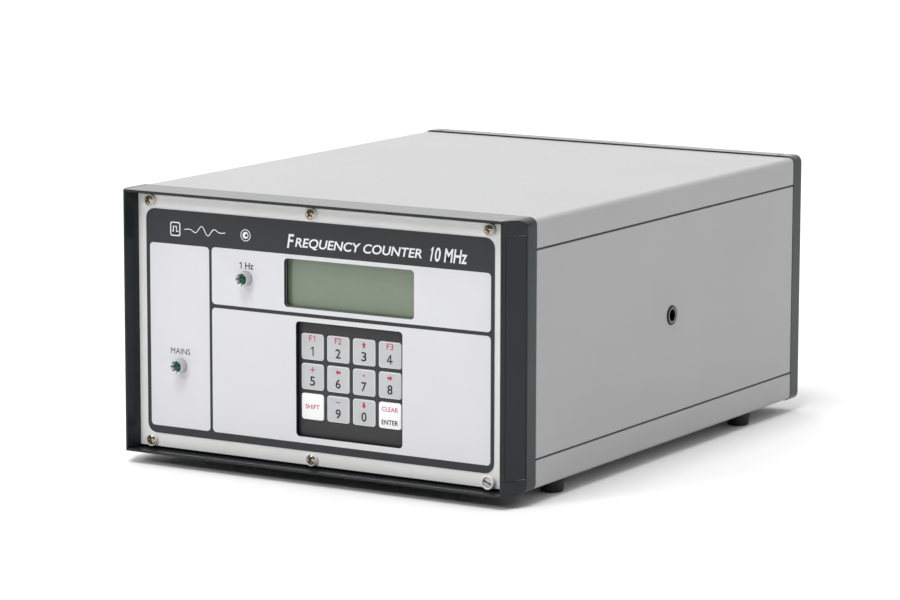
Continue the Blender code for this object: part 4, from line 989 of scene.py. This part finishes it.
def surroundings():
    """White surroundings: their strength is a slope across them plus a share of height squared."""
    world = bpy.data.worlds.new("studio")
    bpy.context.scene.world = world
    world.use_nodes = True
    tree = world.node_tree
    backdrop = tree.nodes["Background"]
    backdrop.inputs["Color"].default_value = (1.0, 1.0, 1.0, 1.0)

    def maths(operation, first, second):
        return node(tree, "ShaderNodeMath", {0: first, 1: second},
                    operation=operation).outputs["Value"]

    way = node(tree, "ShaderNodeTexCoord").outputs["Generated"]
    slope = node(tree, "ShaderNodeVectorMath", {0: way, 1: WORLD_SLOPE}, operation="DOT_PRODUCT")
    height = node(tree, "ShaderNodeSeparateXYZ", {"Vector": way}).outputs["Z"]
    overhead = maths("MULTIPLY", maths("MULTIPLY", height, height), WORLD_OVERHEAD)
    level = maths("ADD", slope.outputs["Value"], WORLD_MIDDLE)
    strength = maths("MAXIMUM", maths("ADD", level, overhead), WORLD_LEAST)
    tree.links.new(strength, backdrop.inputs["Strength"])


def stage():
    """A pale floor, the surroundings, two soft lights, one high in front and one low at the front
    left, and the camera."""
    far = FLOOR_HALF
    mesh = bpy.data.meshes.new("floor")
    mesh.from_pydata([(-far, -far, 0), (far, -far, 0), (far, far, 0), (-far, far, 0)], [],
                     [(0, 1, 2, 3)])
    mesh.materials.append(finish("white_floor", (246, 246, 246), 0.8, shade=0.004, cloud=2,
                                 grain=60))
    floor = bpy.data.objects.new("floor", mesh)
    bpy.context.scene.collection.objects.link(floor)
    surroundings()

    for name, place, size, power in LIGHTS:
        light = bpy.data.lights.new(name, "AREA")
        light.shape = "SQUARE"
        light.size = size
        light.energy = power
        lamp = bpy.data.objects.new(name, light)
        bpy.context.scene.collection.objects.link(lamp)
        lamp.location = place
        way = np.array(LIGHTS_AIM) - np.array(place)
        lamp.rotation_euler = (atan2(hypot(way[0], way[1]), -way[2]), 0, atan2(-way[0], way[1]))

    bpy.context.scene.view_settings.view_transform = "Standard"
    camera = bpy.data.cameras.new("camera")
    camera.sensor_width = CAMERA_SENSOR
    camera.lens = CAMERA_LENS
    camera.shift_x, camera.shift_y = CAMERA_SHIFT
    camera.clip_end = CAMERA_END
    view = bpy.data.objects.new("camera", camera)
    bpy.context.scene.collection.objects.link(view)
    view.location = np.add((0, PANEL_Y, CENTRE_Z), CAMERA_FROM_PANEL)
    view.rotation_euler = [radians(angle) for angle in CAMERA_TURN]
    bpy.context.scene.camera = view


front_frame()
rear_frame()
covers()
side_panels()
side_bushes()
feet()
front_print()
front_legends()
panel_screws()
display()
keypad()
lamps()
rear_panel()
coaxial_sockets()
ground_post()
rear_legends()
insides()
stage()
